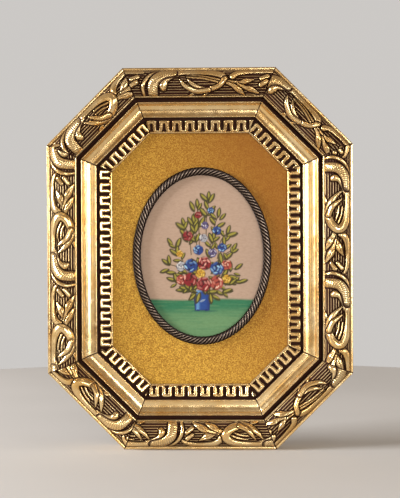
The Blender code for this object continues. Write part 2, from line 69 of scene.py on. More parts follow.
MITRE_SLOPE = math.tan(math.radians(22.5))
log = logging.getLogger("framed_painting")


# Node trees and meshes


class Shader:
    """A material's node tree, written from left to right."""

    def __init__(self, name: str) -> None:
        """Start a material that holds one Principled shader.

        Args:
            name: the material's name.
        """
        self.material = bpy.data.materials.new(name)
        self.material.use_nodes = True
        self.tree = self.material.node_tree
        self.surface = self.tree.nodes["Principled BSDF"]

    def add(self, kind: str, inputs: dict, **settings: object) -> bpy.types.Node:
        """Add a node.

        Args:
            kind: the node's type name without its prefix.
            inputs: a value or an output socket for each input, by its name or number.
            settings: the node's own properties.

        Returns:
            The new node.
        """
        node = self.tree.nodes.new(f"ShaderNode{kind}")
        for key, value in settings.items():
            setattr(node, key, value)
        for key, value in inputs.items():
            self.feed(node.inputs[key], value)
        return node

    def feed(self, socket: bpy.types.NodeSocket, value: object) -> None:
        """Link an output to an input, or set the input's value.

        Args:
            socket: the input.
            value: an output socket, a number, or a tuple of numbers.
        """
        if isinstance(value, bpy.types.NodeSocket):
            self.tree.links.new(value, socket)
        elif isinstance(value, tuple) and len(value) == 3 and socket.type == "RGBA":
            socket.default_value = (*value, 1.0)
        else:
            socket.default_value = value

    def place(self) -> bpy.types.NodeSocket:
        """Returns:
            The surface's place in metres, the same on every piece.
        """
        return self.add("TexCoord", {}).outputs["Object"]

    def attribute(self, name: str, output: str = "Fac") -> bpy.types.NodeSocket:
        """Read a value that the mesh carries.

        Args:
            name: the attribute's name.
            output: which of the node's outputs to give.

        Returns:
            The attribute's socket.
        """
        return self.add("Attribute", {}, attribute_name=name).outputs[output]

    def noise(self, vector: bpy.types.NodeSocket, scale: float, detail: float = 2.0,
              roughness: float = 0.5) -> bpy.types.NodeSocket:
        """Cloudy noise from 0 to 1.

        Args:
            vector: where to read it.
            scale: how many clouds there are to a metre.
            detail: how many finer layers it has.
            roughness: how strong the finer layers are.

        Returns:
            The noise's value.
        """
        inputs = {"Vector": vector, "Scale": scale, "Detail": detail, "Roughness": roughness}
        return self.add("TexNoise", inputs).outputs["Fac"]

    def stretch(self, vector: bpy.types.NodeSocket,
                scale: tuple[float, float, float]) -> bpy.types.NodeSocket:
        """Scale a place along each axis.

        Args:
            vector: the place.
            scale: the three factors.

        Returns:
            The scaled place.
        """
        return self.add("Mapping", {"Vector": vector, "Scale": scale}).outputs["Vector"]

    def mix(self, factor: object, first: object, second: object, blend: str = "MIX") -> bpy.types.NodeSocket:
        """Mix two colours.

        Args:
            factor: how much of the second.
            first: a colour or its socket.
            second: a colour or its socket.
            blend: how the second is laid on.

        Returns:
            The mixed colour.
        """
        node = self.add("Mix", {}, data_type="RGBA", blend_type=blend)
        self.feed(node.inputs["Factor"], factor)
        self.feed(node.inputs[6], first)
        self.feed(node.inputs[7], second)
        return node.outputs[2]

    def math(self, operation: str, first: object, second: object = 0.0,
             third: object = 0.0) -> bpy.types.NodeSocket:
        """Work out a number.

        Args:
            operation: the node's operation.
            first: a number or its socket.
            second: a number or its socket.
            third: a number or its socket.

        Returns:
            The result.
        """
        return self.add("Math", {0: first, 1: second, 2: third}, operation=operation).outputs[0]

    def sway(self, value: bpy.types.NodeSocket, cloud: bpy.types.NodeSocket, amount: float,
             middle: float = 0.5) -> bpy.types.NodeSocket:
        """Move a value up and down with another: value + amount(cloud - middle).

        Args:
            value: what is moved.
            cloud: what moves it.
            amount: how far it does.
            middle: where the cloud leaves the value as it is.

        Returns:
            The moved value.
        """
        return self.math("MULTIPLY_ADD", self.math("SUBTRACT", cloud, middle), amount, value)

    def span(self, value: bpy.types.NodeSocket, low: float, high: float, start: float = 0.0,
             end: float = 1.0) -> bpy.types.NodeSocket:
        """Turn one stretch of a value into another, held at both ends.

        Args:
            value: what is turned.
            low: the value that gives start.
            high: the value that gives end.
            start: the result at low.
            end: the result at high.

        Returns:
            The result.
        """
        inputs = {"Value": value, "From Min": low, "From Max": high, "To Min": start, "To Max": end}
        return self.add("MapRange", inputs, clamp=True).outputs["Result"]

    def bump(self, height: bpy.types.NodeSocket, distance: float, strength: float = 1.0,
             normal: object = None) -> bpy.types.NodeSocket:
        """Roughen the surface.

        Args:
            height: the height from 0 to 1.
            distance: how far, in metres, the height 1 stands out.
            strength: how much of it shows.
            normal: the normal of a coarser bump.

        Returns:
            The bumped normal.
        """
        node = self.add("Bump", {"Height": height, "Distance": distance, "Strength": strength})
        if normal is not None:
            self.feed(node.inputs["Normal"], normal)
        return node.outputs["Normal"]

    def shade(self, **inputs: object) -> bpy.types.Material:
        """Feed the Principled shader.

        Args:
            inputs: its inputs, with an underscore for a space.

        Returns:
            The finished material.
        """
        for key, value in inputs.items():
            self.feed(self.surface.inputs[key.replace("_", " ")], value)
        return self.material


def mesh_from_arrays(name: str, points: np.ndarray, faces: list[np.ndarray]) -> bpy.types.Mesh:
    """Make a mesh of arrays.

    Args:
        name: the mesh's name.
        points: one row of x, y, z for each vertex.
        faces: arrays of vertex numbers, one row for each face; each array has its own count of corners.

    Returns:
        The mesh, shaded smooth.
    """
    corners = np.concatenate([block.ravel() for block in faces])
    sizes = np.concatenate([np.full(len(block), block.shape[1]) for block in faces])
    mesh = bpy.data.meshes.new(name)
    mesh.vertices.add(len(points))
    mesh.vertices.foreach_set("co", points.astype(np.float32).ravel())
    mesh.loops.add(len(corners))
    mesh.loops.foreach_set("vertex_index", corners.astype(np.int32))
    mesh.polygons.add(len(sizes))
    mesh.polygons.foreach_set("loop_start", np.concatenate(([0], np.cumsum(sizes)[:-1])).astype(np.int32))
    mesh.update(calc_edges=True)
    mesh.validate()
    mesh.shade_smooth()
    return mesh


def store(mesh: bpy.types.Mesh, name: str, values: np.ndarray) -> None:
    """Write one number, or one colour, on each vertex.

    Args:
        mesh: the mesh.
        name: the attribute's name.
        values: a flat array of numbers, or one row of three for each vertex.
    """
    if values.ndim == 1:
        mesh.attributes.new(name, "FLOAT", "POINT").data.foreach_set("value", values.astype(np.float32))
        return
    rows = np.ones((len(values), 4), dtype=np.float32)
    rows[:, :3] = values
    mesh.attributes.new(name, "FLOAT_COLOR", "POINT").data.foreach_set("color", rows.ravel())


def add_piece(name: str, mesh: bpy.types.Mesh, slot: str, *nodes: str) -> bpy.types.Object:
    """Put a finer piece in the place of CAD nodes.

    Args:
        name: the piece's name.
        mesh: its mesh, already in place.
        slot: the name of the record's slot for its finish; not used.
        nodes: the CAD nodes that it stands for.

    Returns:
        The piece.
    """
    piece = bpy.data.objects.new(name, mesh)
    bpy.context.scene.collection.objects.link(piece)
    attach(piece, "root")
    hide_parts(*nodes)
    log.info("%s: %d faces", name, len(mesh.polygons))
    return piece


def dress_node(name: str, material: bpy.types.Material) -> None:
    """Give a CAD node that stays its finish.

    Args:
        name: the node.
        material: its new material.
    """
    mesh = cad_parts[name].data
    mesh.materials.clear()
    mesh.materials.append(material)
    log.info("%s: %s", name, material.name)


def smooth_line(knots: np.ndarray, steps: int) -> np.ndarray:
    """A Catmull-Rom line through knots.

    The line between two knots is half of 2b + (c - a)t + (2a - 5b + 4c - d)t^2 + (3b - a - 3c + d)t^3, where
    b and c are those knots, and a and d the ones before and after.

    Args:
        knots: one row for each knot.
        steps: how many places each stretch gets.

    Returns:
        One row for each place on the line.
    """
    ends = 2 * knots[0] - knots[1], 2 * knots[-1] - knots[-2]
    padded = np.vstack([ends[0], knots, ends[1]])
    a, b, c, d = (padded[i:len(padded) - 3 + i, None, :] for i in range(4))
    t = np.linspace(0.0, 1.0, steps, endpoint=False)[None, :, None]
    square, cube = (2 * a - 5 * b + 4 * c - d) * t ** 2, (3 * b - a - 3 * c + d) * t ** 3
    line = 0.5 * (2 * b + (c - a) * t + square + cube)
    return np.vstack([line.reshape(-1, knots.shape[1]), knots[-1:]])


# Finishes


@dataclass(frozen=True)
class GoldLeaf:
    """Leaf over a brown wash that lies in the hollows and shows where the leaf is worn through."""

    bright: tuple = (0.92, 0.70, 0.37)
    deep: tuple = (0.83, 0.52, 0.18)
    pale: tuple = (0.96, 0.84, 0.56)
    wash: tuple = (0.040, 0.013, 0.007)

    def material(self) -> bpy.types.Material:
        """Returns:
            The material; it reads the mesh's "wash", from 0 for clean leaf to 1 for a full hollow.
        """
        shader = Shader("gold_leaf")
        place = shader.place()
        cloud = shader.noise(place, 55.0, 3.0)
        fleck = shader.noise(place, 900.0, 3.0, 0.6)
        patch = shader.noise(place, 210.0, 3.0, 0.6)
        gold = shader.mix(shader.span(cloud, 0.35, 0.7), self.bright, self.deep)
        gold = shader.mix(shader.span(patch, 0.50, 0.80, 0.0, 0.30), gold, self.pale)
        wash = shader.sway(shader.attribute("wash"), fleck, 0.30)
        wash = shader.sway(wash, patch, 0.18)
        wash = shader.span(wash, 0.12, 0.75)
        speck = shader.span(shader.noise(place, 1500.0, 1.0), 0.74, 0.82, 0.0, 0.3)
        wash = shader.math("MAXIMUM", wash, speck)
        rough_leaf = shader.span(patch, 0.3, 0.7, 0.17, 0.29)
        rough_wash = shader.span(wash, 0.0, 1.0, 0.0, 0.40)
        return shader.shade(Base_Color=shader.mix(wash, gold, self.wash),
                            Metallic=shader.span(wash, 0.2, 0.9, 0.92, 0.0),
                            Roughness=shader.math("ADD", rough_leaf, rough_wash),
                            Specular_IOR_Level=shader.span(wash, 0.2, 0.9, 0.5, 0.10),
                            Normal=shader.bump(fleck, 0.04 * MM, 0.4))


@dataclass(frozen=True)
class BareWood:
    """Stained softwood at the back of the moulding, with grain along each length."""

    light: tuple = (0.36, 0.22, 0.12)
    dark: tuple = (0.20, 0.115, 0.06)

    def material(self) -> bpy.types.Material:
        """Returns:
            The material; it reads the mesh's "lay", the place along and across the rail.
        """
        shader = Shader("bare_wood")
        lay = shader.attribute("lay", "Vector")
        grain = shader.noise(shader.stretch(lay, (60.0, 1400.0, 1400.0)), 1.0, 4.0, 0.6)
        rings = shader.noise(shader.stretch(lay, (9.0, 260.0, 260.0)), 1.0, 2.0)
        colour = shader.mix(shader.span(grain, 0.35, 0.65), self.light, self.dark)
        colour = shader.mix(shader.span(rings, 0.45, 0.6, 0.0, 0.5), colour, self.dark)
        return shader.shade(Base_Color=colour, Roughness=shader.span(grain, 0.3, 0.7, 0.62, 0.78),
                            Normal=shader.bump(grain, 0.12 * MM, 0.6))


@dataclass(frozen=True)
class GlitterFlock:
    """Fine gold flock on card, with small grains that catch the light, and a painted shade that makes it
    darker and redder towards the upper right.
    """

    ground: tuple = (0.365, 0.170, 0.016)
    grain: tuple = (0.76, 0.46, 0.070)
    painted_shade: tuple = (0.27, 0.088, 0.007)

    def material(self) -> bpy.types.Material:
        """Returns:
            The material.
        """
        shader = Shader("glitter_flock")
        place = shader.place()
        cell = shader.add("TexVoronoi", {"Vector": place, "Scale": 2000.0})
        spark = shader.add("SeparateColor", {"Color": cell.outputs["Color"]}).outputs[0]
        cloud = shader.noise(place, 70.0, 4.0, 0.6)
        fibre = shader.noise(place, 1300.0, 2.0)
        colour = shader.mix(shader.span(spark, 0.25, 0.9), self.ground, self.grain)
        colour = shader.mix(shader.span(cloud, 0.35, 0.7, 0.0, 0.10), colour, self.ground)
        across, _, up = shader.add("SeparateXYZ", {"Vector": place}).outputs
        # Painted shade: the flock turns darker and redder towards the upper right, where the rails' shadow
        # falls.
        slant = shader.sway(across, up, 0.45, (CAD_BOX[0][2] + CAD_BOX[1][2]) / 2)
        colour = shader.mix(shader.span(slant, -0.03, 0.065, 0.0, 0.80), colour, self.painted_shade)
        normal = shader.bump(fibre, 0.25 * MM, 0.5)
        normal = shader.bump(spark, 0.12 * MM, 0.6, normal)
        return shader.shade(Base_Color=colour, Metallic=shader.span(spark, 0.6, 0.9, 0.12, 0.4),
                            Roughness=shader.span(spark, 0.0, 1.0, 0.66, 0.45),
                            Specular_IOR_Level=0.25, Normal=normal)


@dataclass(frozen=True)
class DarkBronze:
    """Bronzed metal, black in its hollows, with a painted shade on the rim's sides and a painted grey pink
    highlight on the strands' crests that face the front.
    """

    hollow: tuple = (0.008, 0.004, 0.003)
    body: tuple = (0.040, 0.025, 0.017)
    crest_highlight: tuple = (0.36, 0.28, 0.22)

    def material(self) -> bpy.types.Material:
        """Returns:
            The material; it reads the mesh's attribute of the strands' tops, from 0 in a hollow or on the
            rim's sides, which carry painted shade, to 1 on top of a strand that faces the front, which
            carries a painted highlight.
        """
        shader = Shader("dark_bronze")
        place = shader.place()
        fleck = shader.noise(place, 1100.0, 3.0, 0.6)
        crest_highlight = shader.sway(shader.attribute("crest_highlight"), fleck, 0.5)
        # Painted shade and highlight: the near-black hollow colour also lies on the rim's sides, and the grey
        # pink on the strand tops that face the front.
        colour = shader.mix(shader.span(crest_highlight, 0.25, 0.6), self.hollow, self.body)
        colour = shader.mix(shader.span(crest_highlight, 0.60, 1.0), colour, self.crest_highlight)
        return shader.shade(Base_Color=colour, Metallic=shader.span(crest_highlight, 0.2, 0.8, 0.3, 0.85),
                            Roughness=shader.span(fleck, 0.3, 0.7, 0.24, 0.40),
                            Specular_IOR_Level=0.2,
                            Normal=shader.bump(fleck, 0.08 * MM, 0.5))


@dataclass(frozen=True)
class OilPaint:
    """Paint with the marks of the brush."""

    def material(self) -> bpy.types.Material:
        """Returns:
            The material; it reads the mesh's "paint" for its colour.
        """
        shader = Shader("oil_paint")
        place = shader.place()
        mottle = shader.noise(shader.stretch(place, (1.0, 1.0, 2.2)), 420.0, 3.0, 0.6)
        paint = shader.attribute("paint", "Color")
        darker = shader.mix(1.0, paint, (0.86, 0.84, 0.82), "MULTIPLY")
        colour = shader.mix(shader.span(mottle, 0.40, 0.70, 0.0, 0.7), paint, darker)
        return shader.shade(Base_Color=colour, Roughness=shader.span(mottle, 0.3, 0.7, 0.45, 0.60),
                            Specular_IOR_Level=0.25,
                            Normal=shader.bump(mottle, 0.10 * MM, 0.4))


@dataclass(frozen=True)
class BrownBoard:
    """Pressed brown board with short fibres."""

    light: tuple = (0.30, 0.19, 0.10)
    dark: tuple = (0.17, 0.10, 0.05)

    def material(self) -> bpy.types.Material:
        """Returns:
            The material.
        """
        shader = Shader("brown_board")
        place = shader.place()
        fibre = shader.noise(shader.stretch(place, (420.0, 420.0, 2600.0)), 1.0, 4.0, 0.7)
        cross = shader.noise(shader.stretch(place, (2600.0, 420.0, 420.0)), 1.0, 4.0, 0.7)
        cloud = shader.noise(place, 28.0, 3.0)
        fibres = shader.math("MAXIMUM", fibre, cross)
        colour = shader.mix(shader.span(fibres, 0.50, 0.75), self.dark, self.light)
        colour = shader.mix(shader.span(cloud, 0.35, 0.65, 0.0, 0.35), colour, self.dark)
        return shader.shade(Base_Color=colour, Roughness=shader.span(fibre, 0.3, 0.7, 0.72, 0.88),
                            Normal=shader.bump(fibre, 0.10 * MM, 0.6))


@dataclass(frozen=True)
class PlatedSteel:
    """Thin yellow plating on pressed steel, dulled in patches."""

    plate: tuple = (0.70, 0.56, 0.32)
    dull: tuple = (0.38, 0.30, 0.20)

    def material(self) -> bpy.types.Material:
        """Returns:
            The material.
        """
        shader = Shader("plated_steel")
        place = shader.place()
        scratch = shader.noise(shader.stretch(place, (260.0, 2400.0, 2400.0)), 1.0, 3.0, 0.6)
        patch = shader.noise(place, 260.0, 3.0)
        colour = shader.mix(shader.span(patch, 0.42, 0.68), self.plate, self.dull)
        return shader.shade(Base_Color=colour, Metallic=0.95,
                            Roughness=shader.span(shader.math("ADD", scratch, patch), 0.7, 1.3, 0.24, 0.50),
                            Normal=shader.bump(scratch, 0.04 * MM, 0.5))


# The moulding


@dataclass(frozen=True)
class MouldingSizes:
    """Widths across the moulding and heights above its back, in millimetres, as the CAD has them."""

    edge_strip: float = 1.6
    quirk: float = 0.8
    band: float = 16.4
    band_bead: float = 1.0
    groove: float = 3.0
    cove_bead: float = 0.8
    cove: float = 8.2
    ledge: float = 0.8
    channel: float = 1.7
    meander: float = 7.5
    sight_bead: float = 1.1
    rebate: float = 5.3
    rebate_depth: float = 8.0
    sight_top: float = 10.0
    meander_inner: float = 10.5
    meander_outer: float = 11.8
    meander_floor: float = 8.8
    ledge_top: float = 12.7
    cove_top: float = 16.9
    cove_hollow: float = 2.6
    cove_skew: float = 0.62
    cove_fullness: float = 0.8
    groove_floor: float = 11.9
    bead_top: float = 17.7
    band_rise: float = 5.0
    edge_top: float = 16.1
    quirk_floor: float = 15.2
    step_drop: float = 0.4

    @property
    def band_start(self) -> float:
        """Returns:
            The band's outer side, counted in from the moulding's outer edge.
        """
        return self.edge_strip + self.quirk

    @property
    def groove_start(self) -> float:
        """Returns:
            The deep groove's outer side.
        """
        return self.band_start + self.band + self.band_bead

    @property
    def cove_start(self) -> float:
        """Returns:
            The cove's outer side, past its bead.
        """
        return self.groove_start + self.groove + self.cove_bead

    @property
    def channel_start(self) -> float:
        """Returns:
            The outer side of the channel by the meander.
        """
        return self.cove_start + self.cove + self.ledge

    @property
    def meander_start(self) -> float:
        """Returns:
            The meander's outer side, counted in from the moulding's outer edge.
        """
        return self.channel_start + self.channel

    @property
    def width(self) -> float:
        """Returns:
            The moulding's whole width.
        """
        return self.meander_start + self.meander + self.sight_bead

    def band_ground(self, share: np.ndarray) -> np.ndarray:
        """Height of the band's ground: a straight rise from edge to bead, and a round swell over it.

        Args:
            share: places from 0 at the band's outer side to 1 at its inner one.

        Returns:
            The heights.
        """
        share = np.clip(share, 0.0, 1.0)
        springing = self.edge_top + (self.bead_top - self.edge_top) * share - self.step_drop
        return springing + self.band_rise * (4 * share * (1 - share)) ** 0.75


class Zone(Enum):
    """What is carved or cast on a stretch of the section."""

    PLAIN = 0
    BAND = 1
    MEANDER = 2
    BACK = 3


@dataclass
class Section:
    """The moulding's section as a closed line, from the back's outer corner over the front."""

    sizes: MouldingSizes
    bead_places: int = 6
    band_places: int = 68
    cove_places: int = 15
    meander_places: int = 28
    insets: list = field(default_factory=list)
    heights: list = field(default_factory=list)
    washes: list = field(default_factory=list)
    zones: list = field(default_factory=list)

    def add(self, insets: np.ndarray, heights: np.ndarray, wash: object, zone: Zone = Zone.PLAIN) -> None:
        """Go on with a stretch of the line.

        Args:
            insets: places counted in from the outer edge.
            heights: heights above the back.
            wash: how much brown wash lies there, one number or one for each place.
            zone: what is carved there.
        """
        self.insets.append(np.asarray(insets, dtype=float))
        self.heights.append(np.asarray(heights, dtype=float))
        self.washes.append(np.broadcast_to(wash, len(insets)).astype(float))
        self.zones.append(np.full(len(insets), zone.value))

    def straight(self, start: tuple, end: tuple, count: int, wash: object = 0.0,
                 zone: Zone = Zone.PLAIN) -> None:
        """A straight stretch.

        Args:
            start: its first (inset, height).
            end: its last (inset, height).
            count: how many places it has.
            wash: its wash.
            zone: what is carved there.
        """
        self.add(np.linspace(start[0], end[0], count), np.linspace(start[1], end[1], count), wash, zone)

    def bead(self, start: float, width: float, base: float, top: float, wash: float = 0.0) -> None:
        """A half-round bead: inset start + width(1 - cos a)/2 and height base + (top - base) sin a.

        Args:
            start: the inset where it begins.
            width: how wide it is.
            base: the height that it springs from.
            top: the height of its crown.
            wash: the wash on its crown; its sides hold more.
        """
        angle = np.linspace(0.0, math.pi, self.bead_places)
        crown = np.sin(angle)
        insets = start + width * (1 - np.cos(angle)) / 2
        self.add(insets, base + (top - base) * crown, wash + 0.55 * (1 - crown) ** 2)

    def draw(self) -> "Section":
        """Draw the whole section.

        Returns:
            The section, with its lists joined into arrays.
        """
        self.draw_edge()
        self.draw_band()
        self.draw_groove()
        self.draw_cove()
        self.draw_meander()
        self.draw_back()
        self.insets, self.heights = np.concatenate(self.insets), np.concatenate(self.heights)
        self.washes, self.zones = np.concatenate(self.washes), np.concatenate(self.zones)
        return self

    def draw_edge(self) -> None:
        """The outer wall, the strip along its top and the small quirk inside the strip."""
        sizes = self.sizes
        self.straight((0.0, 0.0), (0.0, sizes.edge_top - 0.5), 4, 0.45)
        strip = sizes.edge_top + np.array([-0.12, 0.0, 0.0, -0.1])
        self.add([0.12, 0.45, 1.1, 1.55], strip, [0.3, 0.05, 0.0, 0.25])
        quirk = sizes.quirk_floor + np.array([0.1, 0.0, 0.25])
        self.add([1.75, 2.05, 2.35], quirk, [0.5, 0.6, 0.5])

    def draw_band(self) -> None:
        """The carved band's ground, and the bead on its inner side."""
        sizes = self.sizes
        share = np.linspace(0.0, 1.0, self.band_places)
        self.add(sizes.band_start + sizes.band * share, sizes.band_ground(share), 0.0, Zone.BAND)
        self.bead(sizes.band_start + sizes.band, sizes.band_bead, sizes.bead_top - 0.45, sizes.bead_top, 0.12)

    def draw_groove(self) -> None:
        """The deep dark groove: its outer wall, its floor and its inner wall."""
        sizes = self.sizes
        start, end, floor = sizes.groove_start, sizes.groove_start + sizes.groove, sizes.groove_floor
        darker = np.array([0.2, 0.4, 0.9, 1.0])
        self.straight((start + 0.03, sizes.bead_top - 0.8), (start + 0.06, floor + 0.3), 4, darker)
        self.straight((start + 0.4, floor), (end - 0.4, floor), 2, 1.0)
        self.straight((end - 0.06, floor + 0.3), (end - 0.03, sizes.cove_top - 0.7), 4, darker[::-1])

    def draw_cove(self) -> None:
        """The cove between its bead and its ledge.

        It falls straight from bead to ledge, less cove_hollow times sin(pi x^skew)^fullness, where x is the
        share of its width. Wash lies against the bead and thins out fast.
        """
        sizes = self.sizes
        self.bead(sizes.cove_start - sizes.cove_bead, sizes.cove_bead, sizes.cove_top - 0.4, sizes.cove_top)
        share = np.linspace(0.0, 1.0, self.cove_places)
        fall = sizes.cove_top - sizes.step_drop + (sizes.ledge_top - sizes.cove_top) * share
        hollow = sizes.cove_hollow * np.sin(math.pi * share ** sizes.cove_skew) ** sizes.cove_fullness
        self.add(sizes.cove_start + sizes.cove * share, fall - hollow, 0.04 + 0.5 * np.exp(-share / 0.045))
        self.bead(sizes.cove_start + sizes.cove, sizes.ledge, sizes.ledge_top - 0.15, sizes.ledge_top + 0.1)

    def draw_meander(self) -> None:
        """The channel, the floor that the meander stands on, and the bead at the sight edge."""
        sizes = self.sizes
        start, floor = sizes.channel_start, sizes.meander_floor
        self.straight((start + 0.04, sizes.ledge_top - 0.6), (start + 0.06, floor + 0.2), 3, [0.8, 1.0, 1.0])
        self.straight((start + 0.3, floor), (sizes.meander_start - 0.1, floor), 2, 1.0)
        self.straight((sizes.meander_start, floor), (sizes.meander_start + sizes.meander, floor),
                      self.meander_places, 1.0, Zone.MEANDER)
        sight = sizes.width - sizes.sight_bead
        self.bead(sight, sizes.sight_bead, sizes.sight_top - 0.5, sizes.sight_top, 0.10)
        self.straight((sizes.width, sizes.sight_top - 0.7), (sizes.width, sizes.rebate_depth), 2, 0.55)

    def draw_back(self) -> None:
        """The rebate that takes the mat and the board, and the bare wood's flat back."""
        sizes = self.sizes
        rebate, depth = sizes.width - sizes.rebate, sizes.rebate_depth
        self.straight((sizes.width - 0.05, depth), (rebate, depth), 2, 0.0, Zone.BACK)
        self.straight((rebate, depth - 0.05), (rebate, 0.0), 2, 0.0, Zone.BACK)
        self.straight((rebate - 0.1, 0.0), (0.1, 0.0), 4, 0.0, Zone.BACK)


class Surface(Enum):
    """How the top of a carved member is finished."""

    ROUND = "round"
    CROSS_CUT = "cross_cut"
    VEINED = "veined"


@dataclass(frozen=True)
class Member:
    """One carved member: a smooth line of changing width that stands out of the ground."""

    knots: tuple
    surface: Surface = Surface.ROUND
    lift: float = 1.0
    trench: float = 0.6


# Knots are (share of the scroll's length, share of the band's width from its outer side, half-width in mm).
CRESCENT = Member(((0.145, 0.01, 0.6), (0.072, 0.13, 0.9), (0.024, 0.38, 1.05), (0.002, 0.68, 1.0),
                   (0.010, 0.97, 0.7)), trench=1.1)
BROAD_SCROLL = (
    CRESCENT,
    Member(((0.43, 0.30, 0.5), (0.50, 0.35, 0.55), (0.585, 0.50, 0.5)), Surface.ROUND, 0.9),
    Member(((0.42, 0.45, 0.45), (0.49, 0.49, 0.5), (0.56, 0.61, 0.45)), Surface.ROUND, 0.9),
    Member(((0.665, 0.37, 1.7), (0.69, 0.20, 2.0), (0.76, 0.08, 1.9), (0.88, 0.06, 1.6), (0.98, 0.17, 1.1),
            (1.01, 0.30, 0.6))),
    Member(((0.64, 0.59, 0.7), (0.71, 0.55, 0.8), (0.775, 0.46, 2.2), (0.85, 0.27, 0.4)), Surface.VEINED),
    Member(((0.64, 0.62, 0.7), (0.685, 0.68, 1.3), (0.73, 0.79, 1.9), (0.795, 0.95, 0.4)), Surface.VEINED),
    Member(((0.71, 0.58, 0.6), (0.775, 0.67, 1.1), (0.83, 0.77, 2.0), (0.91, 0.97, 0.4)), Surface.VEINED),
    Member(((0.915, 0.50, 1.1), (0.960, 0.33, 1.3))),
    Member(((0.915, 0.76, 1.1), (0.965, 0.60, 1.3))),
    Member(((0.42, 0.90, 0.9), (0.37, 0.97, 0.7), (0.335, 1.02, 0.4))),
    Member(((0.52, 0.88, 1.2), (0.46, 0.97, 1.0), (0.40, 1.04, 0.4))),
    Member(((0.33, 0.16, 1.4), (0.255, 0.25, 1.5), (0.20, 0.42, 1.5), (0.182, 0.60, 2.1),
            (0.186, 0.68, 1.7))),
    Member(((0.25, 0.10, 2.4), (0.36, 0.06, 2.2), (0.50, 0.10, 2.2), (0.595, 0.25, 2.5), (0.622, 0.48, 2.6),
            (0.58, 0.73, 2.4), (0.50, 0.86, 2.1), (0.41, 0.80, 1.9), (0.345, 0.60, 1.3), (0.296, 0.34, 0.4))),
    Member(((0.50, 0.86, 1.6), (0.43, 0.72, 1.6), (0.395, 0.53, 1.2), (0.362, 0.32, 0.4))),
    Member(((0.088, 1.02, 2.7), (0.088, 0.72, 2.9), (0.105, 0.42, 3.0), (0.17, 0.19, 2.8), (0.26, 0.10, 2.3)),
           Surface.CROSS_CUT, trench=1.1),
)
SLENDER_SCROLL = (
    CRESCENT,
    Member(((0.29, 0.15, 0.6), (0.43, 0.22, 0.65), (0.62, 0.42, 0.6)), Surface.ROUND, 0.9),
    Member(((0.34, 0.28, 0.5), (0.47, 0.34, 0.6), (0.60, 0.52, 0.5)), Surface.ROUND, 0.9),
    Member(((0.690, 0.26, 1.9), (0.73, 0.12, 1.6), (0.82, 0.06, 1.3), (1.0, 0.06, 0.9))),
    Member(((0.64, 0.44, 0.7), (0.74, 0.50, 0.7), (0.79, 0.46, 1.6), (0.85, 0.40, 0.4)), Surface.VEINED),
    Member(((0.63, 0.49, 0.7), (0.69, 0.62, 1.1), (0.735, 0.79, 1.7), (0.78, 0.98, 0.4)), Surface.VEINED),
    Member(((0.73, 0.56, 0.6), (0.78, 0.70, 1.0), (0.83, 0.78, 1.6), (0.89, 0.93, 0.4)), Surface.VEINED),
    Member(((0.912, 0.35, 1.4), (0.960, 0.26, 1.4))),
    Member(((0.905, 0.62, 1.3), (0.950, 0.48, 1.5))),
    Member(((0.43, 0.86, 0.9), (0.39, 0.93, 0.7), (0.35, 1.02, 0.4))),
    Member(((0.585, 0.67, 1.0), (0.51, 0.86, 0.8), (0.46, 1.02, 0.4))),
    Member(((0.275, 0.17, 1.2), (0.215, 0.26, 1.5), (0.17, 0.42, 2.1), (0.157, 0.60, 2.7),
            (0.16, 0.70, 2.0))),
    Member(((0.23, 0.10, 2.0), (0.34, 0.06, 1.7), (0.50, 0.08, 1.7), (0.60, 0.18, 1.9), (0.628, 0.31, 1.8))),
    Member(((0.632, 0.34, 1.6), (0.59, 0.62, 1.4), (0.51, 0.77, 1.4), (0.446, 0.74, 1.3), (0.384, 0.57, 1.1),
            (0.345, 0.37, 0.4))),
    Member(((0.51, 0.80, 1.3), (0.42, 0.85, 1.4), (0.355, 0.73, 1.3), (0.314, 0.58, 1.1),
            (0.286, 0.37, 0.4))),
    Member(((0.082, 1.02, 2.8), (0.080, 0.70, 3.1), (0.10, 0.38, 3.1), (0.16, 0.16, 2.7), (0.24, 0.10, 2.0)),
           Surface.CROSS_CUT, trench=1.1),
)

# Knots are (mm from the arch's middle, mm in from the meander's outer side, half-width in mm).
ARCH = (
    Member(((-2.5, 6.6, 0.8), (-3.4, 7.15, 0.6), (-4.3, 7.25, 0.55)), lift=0.7),
    Member(((2.5, 6.6, 0.8), (3.4, 7.15, 0.6), (4.3, 7.25, 0.55)), lift=0.7),
    Member(((-2.2, 1.30, 1.30), (0.0, 1.15, 1.25), (2.2, 1.30, 1.30))),
    Member(((-2.15, 1.4, 1.35), (-2.0, 2.8, 1.30), (-2.0, 4.2, 1.25), (-2.1, 5.6, 1.25), (-2.4, 6.8, 1.0))),
    Member(((2.15, 1.4, 1.35), (2.0, 2.8, 1.30), (2.0, 4.2, 1.25), (2.1, 5.6, 1.25), (2.4, 6.8, 1.0))),
)


@dataclass(frozen=True)
class Nearest:
    """For each place of a patch, what the nearest point of a member's line says."""

    distance: np.ndarray
    half_width: np.ndarray
    travelled: np.ndarray
    side: np.ndarray

    @classmethod
    def on_line(cls, places: np.ndarray, line: np.ndarray) -> "Nearest":
        """Find the nearest point of a line to each place.

        The place is dropped squarely on every short chord of the line, held between the chord's ends, and the
        chord with the shortest drop is kept.

        Args:
            places: one row of (along, across) for each place.
            line: one row of (along, across, half-width) for each point of the line.

        Returns:
            What those points say.
        """
        start, chord = line[:-1, :2], np.diff(line[:, :2], axis=0)
        length_squared = np.maximum((chord ** 2).sum(axis=1), 1e-9)
        away = places[:, None, :] - start[None]
        share = np.clip((away * chord).sum(axis=2) / length_squared, 0.0, 1.0)
        drop = away - share[..., None] * chord
        squared = (drop ** 2).sum(axis=2)
        best = squared.argmin(axis=1)
        rows = np.arange(len(places))
        share = share[rows, best]
        lengths = np.sqrt(length_squared)
        reached = np.concatenate(([0.0], np.cumsum(lengths)))
        turned = chord[best, 0] * away[rows, best, 1] - chord[best, 1] * away[rows, best, 0]
        return cls(np.sqrt(squared[rows, best]), line[best, 2] + share * (line[best + 1, 2] - line[best, 2]),
                   reached[best] + share * lengths[best], np.sign(turned))


